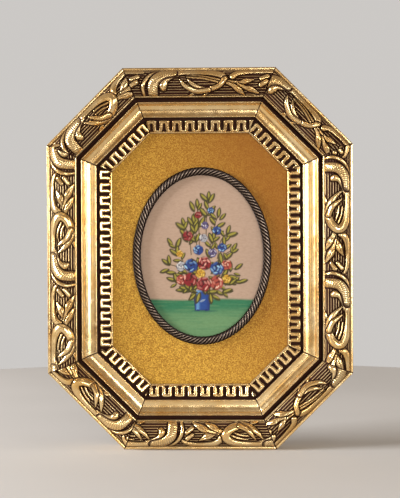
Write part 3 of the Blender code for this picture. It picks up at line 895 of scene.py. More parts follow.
@dataclass
class Relief:
    """Heights and wash over a patch of one rail, in millimetres, as members are carved on it one by one."""

    along: np.ndarray
    across: np.ndarray
    height: np.ndarray
    wash: np.ndarray
    deepest: float = 0.7
    highest: float = 2.2
    cross_cut_pitch: float = 1.5

    def carve(self, member: Member, line: np.ndarray) -> None:
        """Carve one member over what is there, with a narrow dark trench round it.

        A member's section is rise(1 - x^2.4)^0.6, where x is the distance from its line as a share of its
        half-width, and rise is its half-width up to a limit. Beside it the ground is sunk by deepest times
        exp(-(d/trench)^4), d being the distance from the member's edge.

        Args:
            member: what it is.
            line: one row of (along, across, half-width) for each point of its line.
        """
        reach = line[:, 2].max() + 3 * member.trench
        low, high = line[:, :2].min(axis=0) - reach, line[:, :2].max(axis=0) + reach
        near = ((self.along > low[0]) & (self.along < high[0])
                & (self.across > low[1]) & (self.across < high[1]))
        if not near.any():
            return
        found = Nearest.on_line(np.column_stack([self.along[near], self.across[near]]), line)
        share = found.distance / found.half_width
        rise = np.minimum(found.half_width, self.highest) * member.lift
        dome = np.clip(1 - share ** 2.4, 0.0, 1.0) ** 0.6
        cut, dark = self.cut(member.surface, found, share)
        trench = np.exp(-((found.distance - found.half_width) / member.trench) ** 4)
        outside = self.height[near] - self.deepest * trench
        inside = rise * dome * (1 - cut)
        self.height[near] = np.where(share < 1, inside, outside)
        stained = np.maximum(self.wash[near], trench)
        self.wash[near] = np.where(share < 1, np.clip(0.75 * share ** 7 + dark, 0.0, 1.0), stained)

    def cut(self, surface: Surface, found: Nearest, share: np.ndarray) -> tuple[np.ndarray, np.ndarray]:
        """What is cut into a member's top.

        Cross cuts are waves along the member that slant a little to each side, and a vein is a narrow furrow
        exp(-(d/0.22)^2) along its middle.

        Args:
            surface: how the top is finished.
            found: where each place is on the member.
            share: the distance from the line as a share of the half-width.

        Returns:
            The share of the rise that is cut away, and the wash that lies there.
        """
        if surface is Surface.CROSS_CUT:
            slant = found.travelled + 0.35 * found.distance * found.side
            wave = 0.5 + 0.5 * np.cos(2 * math.pi * slant / self.cross_cut_pitch)
            inner = np.clip((0.95 - share) / 0.15, 0.0, 1.0)
            return 0.15 * wave ** 2 * inner, 0.60 * wave ** 4 * inner
        if surface is Surface.VEINED:
            vein = np.exp(-(found.distance / 0.22) ** 2) * np.clip(found.half_width - 0.6, 0.0, 1.0)
            return 0.45 * vein, 0.6 * vein
        return np.zeros_like(share), np.zeros_like(share)


@dataclass(frozen=True)
class RailPlan:
    """Where one rail is cut from the running pattern, in millimetres from its first outer corner, and how
    much of the band's brown wash is left on it; the amount changes from rail to rail as painted shade, more
    on the top and right rails and less on the left ones.
    """

    name: str
    first_scroll: float
    scroll_length: float
    first_arch: float
    scroll: tuple
    wash_amount: float


# The last number is partly painted shade: more wash on the top and right rails and less on the left ones, as
# the light falls on them.
RAIL_PLANS = (
    RailPlan("rail_top", 13.7, 86.0, 27.3, SLENDER_SCROLL, 1.1),
    RailPlan("rail_top_right", -3.3, 79.0, 28.5, SLENDER_SCROLL, 1.05),
    RailPlan("rail_right", 9.3, 76.4, 25.8, BROAD_SCROLL, 1.15),
    RailPlan("rail_bottom_right", -5.3, 79.0, 25.1, SLENDER_SCROLL, 1.0),
    RailPlan("rail_bottom", -13.0, 75.5, 21.7, BROAD_SCROLL, 0.92),
    RailPlan("rail_bottom_left", 6.7, 75.5, 21.2, BROAD_SCROLL, 0.92),
    RailPlan("rail_left", -15.3, 74.0, 20.8, BROAD_SCROLL, 0.82),
    RailPlan("rail_top_left", 5.7, 75.5, 26.2, BROAD_SCROLL, 0.88),
)


@dataclass
class Rail:
    """One mitred length of the moulding, with its scroll, ribs and meander as fine relief."""

    plan: RailPlan
    section: Section
    length: float
    placing: Matrix
    step: float = 0.36
    rib_pitch: float = 1.67
    rib_height: float = 0.75
    meander_pitch: float = 8.6
    mitre_gap: float = 0.02
    boldness: float = 1.10
    mitre_line: float = 0.55

    def build(self, materials: list) -> bpy.types.Object:
        """Make the rail.

        The section is carried along a straight line between the mitres. A place at share u from -1 to 1 lies
        u times half the rail's length at its own inset, so both ends are cut on the slant, with a thin dark
        line.

        Args:
            materials: the gilt finish and the bare wood's.

        Returns:
            The piece that stands for the CAD rail.
        """
        section = self.section
        half = self.length / 2 - section.insets * MITRE_SLOPE - self.mitre_gap
        stations = int(self.length / self.step) + 1
        along = np.linspace(-1.0, 1.0, stations)[:, None] * half[None]
        across = np.broadcast_to(section.insets, along.shape)
        height = np.broadcast_to(section.heights, along.shape).copy()
        wash = np.broadcast_to(section.washes, along.shape).copy()
        self.carve_band(along, across, height, wash)
        self.cast_meander(along, across, height, wash)
        worn = np.clip(1 - (half[None] - np.abs(along)) / self.mitre_line, 0.0, 1.0)
        wash = np.maximum(wash, 1.4 * worn)
        height -= 0.25 * worn * (across > 0) * (height > section.sizes.rebate_depth)

        count = len(section.insets)
        local = np.stack([along, -across, height], axis=-1).reshape(-1, 3) * MM
        turned = np.array(self.placing)
        points = local @ turned[:3, :3].T + turned[:3, 3]
        number = np.arange(stations * count).reshape(stations, count)
        ahead = np.roll(number, -1, axis=1)
        quads = np.stack([number[:-1], number[1:], ahead[1:], ahead[:-1]], axis=-1).reshape(-1, 4)
        caps = [number[:1], number[-1:, ::-1]]
        mesh = mesh_from_arrays(self.plan.name + "_gilt", points, [quads, *caps])
        store(mesh, "wash", wash.ravel())
        lay = np.stack([along, across, height], axis=-1).astype(np.float32) * np.float32(MM)
        mesh.attributes.new("lay", "FLOAT_VECTOR", "POINT").data.foreach_set("vector", lay.ravel())
        bare = np.zeros(len(mesh.polygons), dtype=np.int32)
        behind = (section.zones == Zone.BACK.value) | (np.roll(section.zones, -1) == Zone.BACK.value)
        bare[:len(quads)] = np.tile(behind, stations - 1)
        bare[len(quads):] = 1
        for material in materials:
            mesh.materials.append(material)
        mesh.polygons.foreach_set("material_index", bare)
        mesh.set_sharp_from_angle(angle=math.radians(55))
        return add_piece(self.plan.name + "_gilt", mesh, "gilt_moulding", self.plan.name)

    def carve_band(self, along: np.ndarray, across: np.ndarray, height: np.ndarray, wash: np.ndarray) -> None:
        """Carve the ribbed ground and the scroll into the band.

        The ribs stand rib_height times w^1.5 above their furrows, where w is |sin| of pi times the place
        across the band over the ribs' pitch.

        Args:
            along: places along the rail from its middle.
            across: places in from the outer edge.
            height: heights, changed here.
            wash: brown wash, changed here.
        """
        sizes, plan = self.section.sizes, self.plan
        band = np.flatnonzero(self.section.zones == Zone.BAND.value)
        columns = slice(band[0], band[-1] + 1)
        wave = np.abs(np.sin(math.pi * (across[:, columns] - sizes.band_start) / self.rib_pitch))
        relief = Relief(along[:, columns] + self.length / 2, across[:, columns],
                        self.rib_height * (wave ** 1.5 - 1), np.clip((1.03 - wave) / 0.16, 0.0, 1.0))
        start = plan.first_scroll - plan.scroll_length
        while start < self.length:
            for member in plan.scroll:
                line = smooth_line(np.array(member.knots), 9)
                line[:, 0] = start + line[:, 0] * plan.scroll_length
                line[:, 1] = sizes.band_start + line[:, 1] * sizes.band
                line[:, 2] *= self.boldness
                relief.carve(member, line)
            start += plan.scroll_length
        inset = relief.across - sizes.band_start
        fade = np.clip(np.minimum(inset, sizes.band - inset) / 0.5, 0.0, 1.0)
        height[:, columns] += relief.height * (0.3 + 0.7 * fade)
        # The rail's own wash amount adds painted shade to rails that face away from the light.
        wash[:, columns] = relief.wash * plan.wash_amount

    def cast_meander(self, along: np.ndarray, across: np.ndarray, height: np.ndarray,
                     wash: np.ndarray) -> None:
        """Cast the meander ribbon: arches with a flat head, joined by shallow cups at the sight edge.

        A member's section is (1 - x^5)^0.5 of the way from the floor to the top, x being the distance from
        its line as a share of its half-width, and the highest member shows.

        Args:
            along: places along the rail from its middle.
            across: places in from the outer edge.
            height: heights, changed here.
            wash: brown wash, changed here.
        """
        sizes = self.section.sizes
        zone = np.flatnonzero(self.section.zones == Zone.MEANDER.value)
        columns = slice(zone[0], zone[-1] + 1)
        place, inset = along[:, columns] + self.length / 2, across[:, columns] - sizes.meander_start
        pitch = self.meander_pitch
        from_arch = (place - self.plan.first_arch + pitch / 2) % pitch - pitch / 2
        top = sizes.meander_outer + (sizes.meander_inner - sizes.meander_outer) * inset / sizes.meander
        stand = np.zeros_like(place)
        wash_amount = np.ones_like(place)
        spots = np.column_stack([from_arch.ravel(), inset.ravel()])
        for member in ARCH:
            line = smooth_line(np.array(member.knots), 6)
            found = Nearest.on_line(spots, line)
            share = (found.distance / found.half_width).reshape(place.shape)
            dome = np.clip(1 - share ** 5, 0.0, 1.0) ** 0.5 * member.lift
            wash_amount = np.where((share < 1) & (dome > stand), share ** 14 + 0.5 * (1 - member.lift), wash_amount)
            stand = np.maximum(stand, dome)
        height[:, columns] = sizes.meander_floor + (top - sizes.meander_floor) * stand
        wash[:, columns] = wash_amount


@dataclass
class Moulding:
    """The eight rails in their ring."""

    corner_cut: float = 50.8
    sizes: MouldingSizes = field(default_factory=MouldingSizes)

    def build(self) -> None:
        """Make every rail and put it in place."""
        materials = [GoldLeaf().material(), BareWood().material()]
        section = Section(self.sizes).draw()
        low, high = (np.array(corner) / MM for corner in CAD_BOX)
        half_width, half_height = (high[0] - low[0]) / 2, (high[2] - low[2]) / 2
        middle = (high[2] + low[2]) / 2
        x, z = half_width - self.corner_cut, half_height - self.corner_cut
        corners = np.array([(-x, half_height), (x, half_height), (half_width, z), (half_width, -z),
                            (x, -half_height), (-x, -half_height), (-half_width, -z), (-half_width, z)])
        following = np.roll(corners, -1, axis=0)
        for index, (plan, start, end) in enumerate(zip(RAIL_PLANS, corners, following)):
            spot = (start + end) / 2
            turn = Matrix.Rotation(index * math.pi / 4, 4, "Y") @ Matrix.Rotation(math.pi / 2, 4, "X")
            placing = Matrix.Translation((spot[0] * MM, 0.0, (middle + spot[1]) * MM)) @ turn
            Rail(plan, section, float(np.hypot(*(end - start))), placing).build(materials)


# The mat, its rim and the picture


@dataclass
class RopeRim:
    """The dark rim: many fine strands twisted together, flattened and bent to the oval."""

    width: float = 5.6 * MM
    turns: int = 17
    strands: int = 7
    steps_per_strand: int = 8
    sides: int = 56
    groove: float = 0.32

    def build(self) -> bpy.types.Object:
        """Make the rim.

        The line is an ellipse divided into equal lengths. Round it, the radius at angle a is half the rim's
        width times 1 - groove(1 - lobe), where lobe is |cos(n(a - twist)/2)|^0.6 and n the number of strands,
        and the section is flattened to the rim's height. The crest highlight, a painted highlight on the
        strands' tops where they face the front that fades to painted shade on the rim's sides, is
        lobe^3.5 sin(a)^0.9.

        Returns:
            The piece that stands for the CAD rim.
        """
        low, high = (np.array(corner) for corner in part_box("rope_rim"))
        centre, size = (low + high) / 2, high - low
        half_x, half_z = size[0] / 2 - self.width / 2, size[2] / 2 - self.width / 2
        fine = np.linspace(0.0, 2 * math.pi, 20001)
        travelled = np.concatenate(([0.0], np.cumsum(np.hypot(np.diff(half_x * np.cos(fine)),
                                                              np.diff(half_z * np.sin(fine))))))
        count = self.turns * self.strands * self.steps_per_strand
        share = np.arange(count) / count
        angle = np.interp(share * travelled[-1], travelled, fine)[:, None]
        around = np.linspace(0.0, 2 * math.pi, self.sides, endpoint=False)[None]
        twist = 2 * math.pi * self.turns * share[:, None]
        lobe = np.abs(np.cos(self.strands * (around - twist) / 2)) ** 0.6
        radius = self.width / 2 * (1 - self.groove * (1 - lobe))
        normal = np.stack([half_z * np.cos(angle), half_x * np.sin(angle)], axis=-1)
        normal /= np.linalg.norm(normal, axis=-1, keepdims=True)
        out = radius * np.cos(around)
        x = centre[0] + half_x * np.cos(angle) + normal[..., 0] * out
        z = centre[2] + half_z * np.sin(angle) + normal[..., 1] * out
        y = centre[1] - radius * np.sin(around) * size[1] / self.width
        points = np.stack([x, y, z], axis=-1).reshape(-1, 3)
        number = np.arange(count * self.sides).reshape(count, self.sides)
        ahead, beside = np.roll(number, -1, axis=0), np.roll(number, -1, axis=1)
        quads = np.stack([number, ahead, np.roll(ahead, -1, axis=1), beside], axis=-1).reshape(-1, 4)
        mesh = mesh_from_arrays("rope_rim_strands", points, [quads])
        # Painted highlight on the strands' tops where they face the front, fading to painted shade on the
        # rim's inner and outer sides and its back.
        store(mesh, "crest_highlight", (lobe ** 3.5 * np.clip(np.sin(around), 0.0, 1.0) ** 0.9).ravel())
        mesh.materials.append(DarkBronze().material())
        return add_piece("rope_rim_strands", mesh, "rope_rim", "rope_rim")


@dataclass
class Canvas:
    """Colour on a set of places, laid on in strokes. Places are in millimetres about the oval's middle."""

    places: np.ndarray
    colour: np.ndarray

    def lay(self, cover: np.ndarray, colour: tuple) -> None:
        """Cover what is there with a colour.

        Args:
            cover: how much of the colour each place takes.
            colour: the linear colour.
        """
        self.colour += cover[:, None] * (np.array(colour) - self.colour)

    def dab(self, spot: tuple, length: float, width: float, angle: float, colour: tuple,
            cover: float = 0.95) -> None:
        """One touch of the brush: a pointed oval with a soft edge.

        Args:
            spot: its middle.
            length: its half-length.
            width: its half-width.
            angle: its direction from the x axis.
            colour: its colour.
            cover: how well it covers.
        """
        away = self.places - np.array(spot)
        near = np.flatnonzero((np.abs(away) < max(length, width) * 1.3).all(axis=1))
        if not len(near):
            return
        along = away[near] @ np.array([math.cos(angle), math.sin(angle)])
        across = away[near] @ np.array([-math.sin(angle), math.cos(angle)])
        reach = np.clip(1 - (along / length) ** 2, 0.0, 1.0) ** 0.7
        edge = np.clip((reach * width - np.abs(across)) / (0.35 * width) + 0.4, 0.0, 1.0)
        take = np.where(np.abs(along) < length, edge * cover, 0.0)
        self.colour[near] += take[:, None] * (np.array(colour) - self.colour[near])

    def line(self, knots: list, width: float, colour: tuple, cover: float = 0.9) -> None:
        """A thin line through knots.

        Args:
            knots: its places.
            width: its half-width.
            colour: its colour.
            cover: how well it covers.
        """
        smooth = smooth_line(np.array([(*knot, width) for knot in knots], dtype=float), 8)
        low, high = smooth[:, :2].min(axis=0) - 2 * width, smooth[:, :2].max(axis=0) + 2 * width
        near = np.flatnonzero(((self.places > low) & (self.places < high)).all(axis=1))
        if not len(near):
            return
        found = Nearest.on_line(self.places[near], smooth)
        take = np.clip(1.4 - found.distance / width, 0.0, 1.0) * cover
        self.colour[near] += take[:, None] * (np.array(colour) - self.colour[near])


class Bloom(Enum):
    """The kinds of flower: the colour of its hollows, of its petals and of the light on them."""

    CRIMSON = ((0.050, 0.003, 0.006), (0.24, 0.016, 0.020), (0.75, 0.36, 0.28))
    ROSE = ((0.12, 0.012, 0.012), (0.40, 0.075, 0.050), (0.85, 0.55, 0.40))
    BLUE = ((0.005, 0.007, 0.045), (0.020, 0.055, 0.24), (0.36, 0.62, 0.80))
    VIOLET = ((0.018, 0.009, 0.035), (0.11, 0.09, 0.21), (0.72, 0.68, 0.74))
    WHITE = ((0.06, 0.05, 0.08), (0.38, 0.38, 0.40), (0.86, 0.82, 0.74))
    YELLOW = ((0.20, 0.09, 0.01), (0.56, 0.31, 0.03), (0.85, 0.68, 0.16))


# Places in the picture are (across, up) in millimetres about the oval's middle, and a flower has a reach.
SPRAY_TIPS = (
    (-3.0, 33.0), (4.5, 38.0), (11.0, 27.0), (-12.0, 20.5), (17.0, 15.5), (20.5, 4.0), (-20.5, 7.5),
    (-23.0, -5.5), (23.0, -8.5), (-19.0, -16.5), (25.5, -17.5), (-12.5, -23.0), (15.5, -23.5),
    (-5.0, -26.5), (7.5, -27.0), (-5.5, 22.5), (7.5, 11.5),
)
FLOWERS = (
    (Bloom.CRIMSON, (-2.5, 27.5), 2.1), (Bloom.BLUE, (6.0, 30.5), 1.9), (Bloom.VIOLET, (2.0, 20.5), 2.3),
    (Bloom.CRIMSON, (-9.5, 13.5), 3.0), (Bloom.BLUE, (10.0, 17.0), 2.6), (Bloom.WHITE, (1.0, 12.0), 2.5),
    (Bloom.BLUE, (13.5, 5.5), 2.7), (Bloom.BLUE, (-2.5, 4.0), 3.0), (Bloom.VIOLET, (7.0, 2.0), 2.6),
    (Bloom.YELLOW, (-15.0, 1.5), 2.0), (Bloom.ROSE, (16.5, -6.0), 3.0), (Bloom.WHITE, (-14.0, -7.0), 2.9),
    (Bloom.BLUE, (-7.5, -6.5), 4.0), (Bloom.BLUE, (10.0, -8.5), 4.0), (Bloom.CRIMSON, (1.5, -5.0), 4.0),
    (Bloom.ROSE, (-14.0, -16.0), 3.0), (Bloom.YELLOW, (16.5, -15.5), 2.5),
    (Bloom.CRIMSON, (-8.0, -16.0), 4.2), (Bloom.ROSE, (9.5, -18.0), 4.2), (Bloom.YELLOW, (-1.0, -12.0), 2.9),
    (Bloom.CRIMSON, (1.0, -19.0), 4.4),
)


@dataclass
class Bouquet:
    """A made-up bouquet of plain round flowers and leaf sprays in a small blue vase, on a green ground."""

    seed: int = 11
    horizon: float = -28.4
    vase_foot: float = -36.8
    vase_lip: float = -23.0
    vase_half: float = 5.2
    vase_flare: float = 1.5
    ground_strokes: int = 60
    low_leaves: int = 46
    bloom_scale: float = 1.22
    backdrop: tuple = (0.47, 0.33, 0.24)
    ground: tuple = (0.030, 0.175, 0.082)
    lit_ground: tuple = (0.16, 0.30, 0.135)
    leaf: tuple = (0.050, 0.042, 0.010)
    lit_leaf: tuple = (0.34, 0.30, 0.045)
    vase: tuple = (0.018, 0.065, 0.27)

    def paint(self, canvas: Canvas) -> None:
        """Paint the whole picture.

        Args:
            canvas: what it is painted on.
        """
        rng = np.random.default_rng(self.seed)
        self.paint_areas(canvas, rng)
        self.paint_vase(canvas)
        self.paint_sprays(canvas, rng)
        self.paint_blooms(canvas, rng)

    def paint_areas(self, canvas: Canvas, rng: np.random.Generator) -> None:
        """The plain backdrop and the green ground, in broad flat strokes.

        Args:
            canvas: what it is painted on.
            rng: where chance comes from.
        """
        x, z = canvas.places.T
        drift = 1.0 + 0.035 * np.sin(x / 13 + 1.2) * np.cos(z / 29) - 0.0006 * (x + 18)
        canvas.colour[:] = np.array(self.backdrop) * drift[:, None]
        horizon = self.horizon + 0.4 * np.sin(x / 9)
        below = np.clip((horizon - z) / 1.6, 0.0, 1.0)
        canvas.lay(below, self.ground)
        canvas.lay(below * np.clip((-34 + 0.8 * np.sin(x / 11) - z) / 9, 0.0, 0.8), self.lit_ground)
        for _ in range(self.ground_strokes):
            spot = rng.uniform((-38, -52), (38, -31))
            light = rng.random() < 0.5
            canvas.dab(tuple(spot), rng.uniform(6, 12), rng.uniform(0.4, 0.8), rng.normal(0.0, 0.03),
                       self.lit_ground if light else self.ground, 0.25)

    def paint_vase(self, canvas: Canvas) -> None:
        """The vase: straight sides that widen to the lip, a light on its left and a shade below.

        Args:
            canvas: what it is painted on.
        """
        x, z = canvas.places.T
        canvas.dab((1.5, self.vase_foot - 0.2), 9.0, 0.8, 0.0, (0.03, 0.12, 0.08), 0.7)
        share = np.clip((z - self.vase_foot) / (self.vase_lip - self.vase_foot), 0.0, 1.0)
        half = self.vase_half + self.vase_flare * share ** 1.5
        for inset, colour in ((0.0, (0.012, 0.022, 0.12)), (0.7, self.vase)):
            level = (z > self.vase_foot + inset) & (z < self.vase_lip - inset)
            inside = np.clip((half - inset - np.abs(x)) / 0.4, 0.0, 1.0) * level
            canvas.lay(inside, colour)
        canvas.lay(inside * np.exp(-((x + 3.0) / 1.1) ** 2) * 0.75, (0.16, 0.38, 0.66))
        canvas.lay(inside * np.clip((x - 1.8) / 3, 0.0, 0.7), (0.014, 0.035, 0.18))
        lip = self.vase_half + self.vase_flare
        canvas.dab((0.0, self.vase_lip - 0.6), lip, 0.6, 0.0, (0.20, 0.40, 0.66), 0.8)
        canvas.dab((0.3, -30.0), 2.0, 0.7, 0.4, (0.45, 0.55, 0.62), 0.5)

    def paint_sprays(self, canvas: Canvas, rng: np.random.Generator) -> None:
        """Leaf sprays that fan out of the vase, each with a leaf at its tip and up to three pairs below it.

        Args:
            canvas: what it is painted on.
            rng: where chance comes from.
        """
        for tip in SPRAY_TIPS:
            foot = np.array([0.12 * tip[0], self.vase_lip])
            away = np.array(tip) - foot
            reach = float(np.hypot(*away))
            heading = math.atan2(away[1], away[0])
            bend = foot + 0.5 * away + np.array([-0.10 * tip[0], 1.5])
            canvas.line([foot + 0.55 * away, bend + 0.30 * away, tip], 0.35, self.leaf)
            self.paint_leaf(canvas, np.array(tip) - 1.5 * away / reach, heading, 5.6)
            for pair in range(3):
                spot = np.array(tip) - away / reach * (3.4 + 4.6 * pair)
                if spot @ away < foot @ away:
                    break
                for side in (-1, 1):
                    turn = heading + side * rng.uniform(0.30, 1.05)
                    self.paint_leaf(canvas, spot + rng.normal(0.0, 0.9, 2), turn, rng.uniform(3.8, 7.0))

    def paint_leaf(self, canvas: Canvas, foot: np.ndarray, heading: float, length: float) -> None:
        """One leaf in two strokes, dark below and light above.

        Args:
            canvas: what it is painted on.
            foot: where it leaves its stem.
            heading: its direction.
            length: how long it is.
        """
        ahead = np.array([math.cos(heading), math.sin(heading)])
        middle = foot + 0.62 * length * ahead
        canvas.dab(tuple(middle), 0.66 * length, 0.29 * length, heading, self.leaf)
        lit = tuple(middle + (0.14, 0.42))
        canvas.dab(lit, 0.46 * length, 0.11 * length, heading + 0.12, self.lit_leaf, 0.9)

    def paint_blooms(self, canvas: Canvas, rng: np.random.Generator) -> None:
        """Loose low leaves, and the flowers on them: small ones high, large ones low in the middle.

        Args:
            canvas: what it is painted on.
            rng: where chance comes from.
        """
        for _ in range(self.low_leaves):
            turn, reach = rng.uniform(0.0, 2 * math.pi), math.sqrt(rng.random())
            foot = np.array([15.0 * reach * math.cos(turn), 8.0 * reach * math.sin(turn) - 13.0])
            self.paint_leaf(canvas, foot, turn + rng.normal(0.0, 0.5), rng.uniform(4.4, 6.2))
        for kind, spot, size in FLOWERS:
            self.paint_bloom(canvas, rng, kind, spot, self.bloom_scale * size)

    @staticmethod
    def paint_bloom(canvas: Canvas, rng: np.random.Generator, kind: Bloom, spot: tuple, size: float) -> None:
        """One flower: a dark round, two rings of curled petals on it, and a light on each petal.

        Args:
            canvas: what it is painted on.
            rng: where chance comes from.
            kind: its colours.
            spot: its middle.
            size: how far its petals reach.
        """
        hollow, petal, light = kind.value
        canvas.dab(spot, size, size * 0.95, 0.0, hollow, 0.95)
        turn = rng.uniform(0.0, math.pi)
        for ring, count, length in ((0.68, 6, 0.42), (0.30, 3, 0.32)):
            for index in range(count):
                angle = turn + 2 * math.pi * index / count + rng.normal(0.0, 0.20)
                place = (spot[0] + ring * size * math.cos(angle), spot[1] + ring * size * math.sin(angle))
                reach = size * length * rng.uniform(0.9, 1.25)
                canvas.dab(place, reach, size * 0.20, angle + 1.9, petal, 0.95)
                shift = (place[0] - 0.06 * size, place[1] + 0.10 * size)
                canvas.dab(shift, size * length * 0.8, size * 0.12, angle + 1.9, light,
                           max(0.0, rng.uniform(-0.5, 1.0)))
            turn += 0.6


@dataclass
class PaintedOval:
    """The oval panel with its picture, as a fine flat mesh that carries the colours."""

    cells: int = 240

    def build(self) -> bpy.types.Object:
        """Make the panel.

        A square grid is pressed into a disc: a place (a, b) with |a| > |b| goes to radius a and angle
        (b/a)45 degrees, and the others likewise with a and b exchanged. The disc is scaled to the oval.

        Returns:
            The piece that stands for the CAD panel.
        """
        low, high = (np.array(corner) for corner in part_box("painted_oval"))
        centre, half = (low + high) / 2, (high - low) / 2
        steps = np.linspace(-1.0, 1.0, self.cells + 1)
        a, b = np.meshgrid(steps, steps, indexing="ij")
        wide = np.abs(a) > np.abs(b)
        radius = np.where(wide, a, b)
        safe = np.where(radius == 0, 1.0, radius)
        angle = np.where(wide, math.pi / 4 * b / safe, math.pi / 2 - math.pi / 4 * a / safe)
        x, z = radius * np.cos(angle), radius * np.sin(angle)
        across, up = centre[0] + half[0] * x.ravel(), centre[2] + half[2] * z.ravel()
        flat = np.column_stack([across, np.full(x.size, low[1]), up])
        number = np.arange(x.size).reshape(x.shape)
        rim = np.concatenate([number[:-1, 0], number[-1, :-1], number[:0:-1, -1], number[0, :0:-1]])
        back = flat[rim].copy()
        back[:, 1] = high[1]
        behind = x.size + np.arange(len(rim))
        front = np.stack([number[:-1, :-1], number[1:, :-1], number[1:, 1:], number[:-1, 1:]], axis=-1)
        side = np.stack([rim, behind, np.roll(behind, -1), np.roll(rim, -1)], axis=-1)
        points = np.vstack([flat, back])
        faces = [front.reshape(-1, 4), side, behind[None, ::-1]]
        mesh = mesh_from_arrays("painted_panel", points, faces)
        places = points[:, [0, 2]] - centre[[0, 2]]
        canvas = Canvas(places / MM, np.zeros((len(places), 3)))
        Bouquet().paint(canvas)
        store(mesh, "paint", canvas.colour)
        mesh.materials.append(OilPaint().material())
        mesh.set_sharp_from_angle(angle=math.radians(40))
        return add_piece("painted_panel", mesh, "painted_oval", "painted_oval")


@dataclass(frozen=True)
class PlainParts:
    """The CAD nodes that keep their shape and only get a better finish."""

    def dress(self) -> None:
        """Give the mat, the backing board, the brads and the hanger their materials."""
        dress_node("mat_board", GlitterFlock().material())
        dress_node("backing_board", BrownBoard().material())
        steel = PlatedSteel().material()
        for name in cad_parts:
            if name.startswith(("brad_", "hanger_")):
                dress_node(name, steel)


# The studio


@dataclass(frozen=True)
class SoftLight:
    """A flat lamp, so wide and so high, that points at the frame's middle."""

    name: str
    place: tuple
    size: tuple
    power: float
    colour: tuple = (1.0, 1.0, 1.0)

    def build(self, target: Vector) -> None:
        """Hang the lamp.

        Args:
            target: what it points at.
        """
        lamp = bpy.data.lights.new(self.name, "AREA")
        lamp.shape = "RECTANGLE"
        lamp.size, lamp.size_y = self.size
        lamp.energy = self.power
        lamp.color = self.colour
        holder = bpy.data.objects.new(self.name, lamp)
        holder.location = Vector(self.place)
        holder.rotation_euler = (target - holder.location).to_track_quat("-Z", "Y").to_euler()
        bpy.context.scene.collection.objects.link(holder)


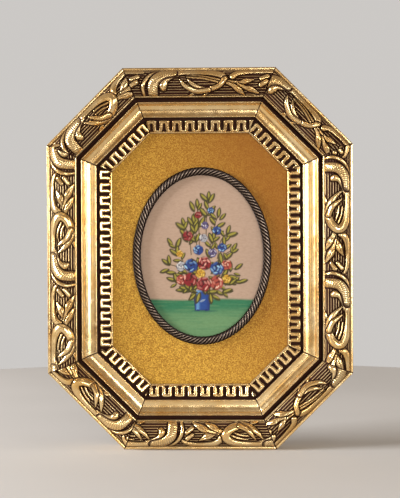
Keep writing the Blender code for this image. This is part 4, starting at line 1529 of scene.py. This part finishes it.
@dataclass
class Studio:
    """The floor, the sky, the lamps and the camera."""

    distance: float = 0.8
    focal_pixels: float = 1179.47
    image_width: int = 400
    yaw: float = math.radians(-1.285)
    pitch: float = math.radians(0.811)
    roll: float = math.radians(-0.242)
    slide: tuple = (0.14 * MM, -6.35 * MM)
    floor_reach: float = 0.5
    floor_corners: int = 96
    lamps: tuple = (
        SoftLight("window", (0.57, -1.49, -0.05), (0.82, 0.26), 10.5, (1.0, 0.98, 0.95)),
        SoftLight("doorway", (-0.42, -1.54, -0.05), (0.50, 0.28), 0.8, (1.0, 0.85, 0.64)),
        SoftLight("curtain", (-1.05, -1.20, 0.0), (0.55, 0.30), 0.9, (1.0, 0.95, 0.86)),
        SoftLight("side", (1.33, -0.88, 0.05), (0.42, 0.42), 3.0, (1.0, 0.97, 0.93)),
        SoftLight("right", (1.56, -0.20, 0.25), (0.40, 0.40), 7.0, (1.0, 0.97, 0.92)),
        SoftLight("left", (-1.54, -0.38, 0.30), (0.60, 0.40), 48.0, (0.97, 0.98, 1.0)),
        SoftLight("above", (0.40, -0.65, 1.40), (0.32, 0.32), 1.2, (1.0, 0.97, 0.93)),
    )

    def build(self) -> None:
        """Build the floor, the sky, the lamps and the camera."""
        low, high = (Vector(corner) for corner in CAD_BOX)
        centre = Vector((0.0, 0.0, (low.z + high.z) / 2))
        self.build_floor(low.z)
        self.build_sky()
        for lamp in self.lamps:
            lamp.build(centre)
        self.build_camera(centre)

    def build_floor(self, level: float) -> None:
        """A plain pale round floor under the frame's lowest edge.

        Args:
            level: its height.
        """
        turn = np.linspace(0.0, 2 * math.pi, self.floor_corners, endpoint=False)
        x, y = self.floor_reach * np.cos(turn), self.floor_reach * np.sin(turn)
        rim = np.column_stack([x, y, np.full(self.floor_corners, level)])
        mesh = mesh_from_arrays("floor", rim, [np.arange(self.floor_corners)[None]])
        shader = Shader("pale_floor")
        tone = shader.noise(shader.place(), 6.0)
        colour = shader.mix(shader.span(tone, 0.3, 0.7), (0.54, 0.525, 0.505), (0.58, 0.565, 0.545))
        mesh.materials.append(shader.shade(Base_Color=colour, Roughness=0.85))
        floor = bpy.data.objects.new("floor", mesh)
        bpy.context.scene.collection.objects.link(floor)

    def build_sky(self) -> None:
        """A plain surround: what the frame mirrors is pale behind it, and dim brown before it and above, and
        the camera sees it pale all round.
        """
        world = bpy.data.worlds.new("studio")
        world.use_nodes = True
        tree = world.node_tree
        direction = tree.nodes.new("ShaderNodeTexCoord")
        parts = tree.nodes.new("ShaderNodeSeparateXYZ")
        tree.links.new(direction.outputs["Generated"], parts.inputs[0])
        seen = tree.nodes.new("ShaderNodeLightPath").outputs["Is Camera Ray"]
        pale = (0.60, 0.58, 0.56, 1.0)
        tone = (0.13, 0.075, 0.042, 1.0)
        for source, start, end, colour in (
            (parts.outputs["Y"], -0.4, 0.4, pale),
            (parts.outputs["Z"], 0.10, 0.8, (0.30, 0.235, 0.175, 1.0)),
            (seen, 0.0, 1.0, pale),
        ):
            fade = tree.nodes.new("ShaderNodeMapRange")
            fade.inputs["From Min"].default_value = start
            fade.inputs["From Max"].default_value = end
            tree.links.new(source, fade.inputs["Value"])
            blend = tree.nodes.new("ShaderNodeMix")
            blend.data_type = "RGBA"
            tree.links.new(fade.outputs["Result"], blend.inputs["Factor"])
            if isinstance(tone, tuple):
                blend.inputs[6].default_value = tone
            else:
                tree.links.new(tone, blend.inputs[6])
            blend.inputs[7].default_value = colour
            tone = blend.outputs[2]
        tree.links.new(tone, tree.nodes["Background"].inputs["Color"])
        bpy.context.scene.world = world
        bpy.context.scene.view_settings.view_transform = "Standard"

    def build_camera(self, centre: Vector) -> None:
        """A camera that sees the frame as the photograph does.

        The frame is turned by yaw, pitch and roll before the camera, and then moved by slide and distance, so
        the camera's own place and axes are the inverse of that.

        Args:
            centre: the frame's middle on the plane of its back.
        """
        turn = (Matrix.Rotation(self.roll, 3, "Y") @ Matrix.Rotation(self.pitch, 3, "X")
                @ Matrix.Rotation(self.yaw, 3, "Z"))
        back = turn.transposed()
        place = centre - back @ Vector((self.slide[0], self.distance, self.slide[1]))
        rows = [back @ Vector(axis) for axis in ((1, 0, 0), (0, 0, 1), (0, -1, 0))]
        axes = Matrix(rows).transposed()
        camera = bpy.data.cameras.new("camera")
        camera.sensor_fit = "HORIZONTAL"
        camera.sensor_width = 36.0
        camera.lens = self.focal_pixels * camera.sensor_width / self.image_width
        camera.clip_start = 0.01
        holder = bpy.data.objects.new("camera", camera)
        holder.matrix_world = Matrix.Translation(place) @ axes.to_4x4()
        bpy.context.scene.collection.objects.link(holder)
        bpy.context.scene.camera = holder


def main() -> None:
    """Build the sub-assemblies in order, from the outside in, and the studio last."""
    logging.basicConfig(level=logging.INFO, format="%(message)s")
    Moulding().build()
    RopeRim().build()
    PaintedOval().build()
    PlainParts().dress()
    Studio().build()


if __name__ == "__main__":
    main()
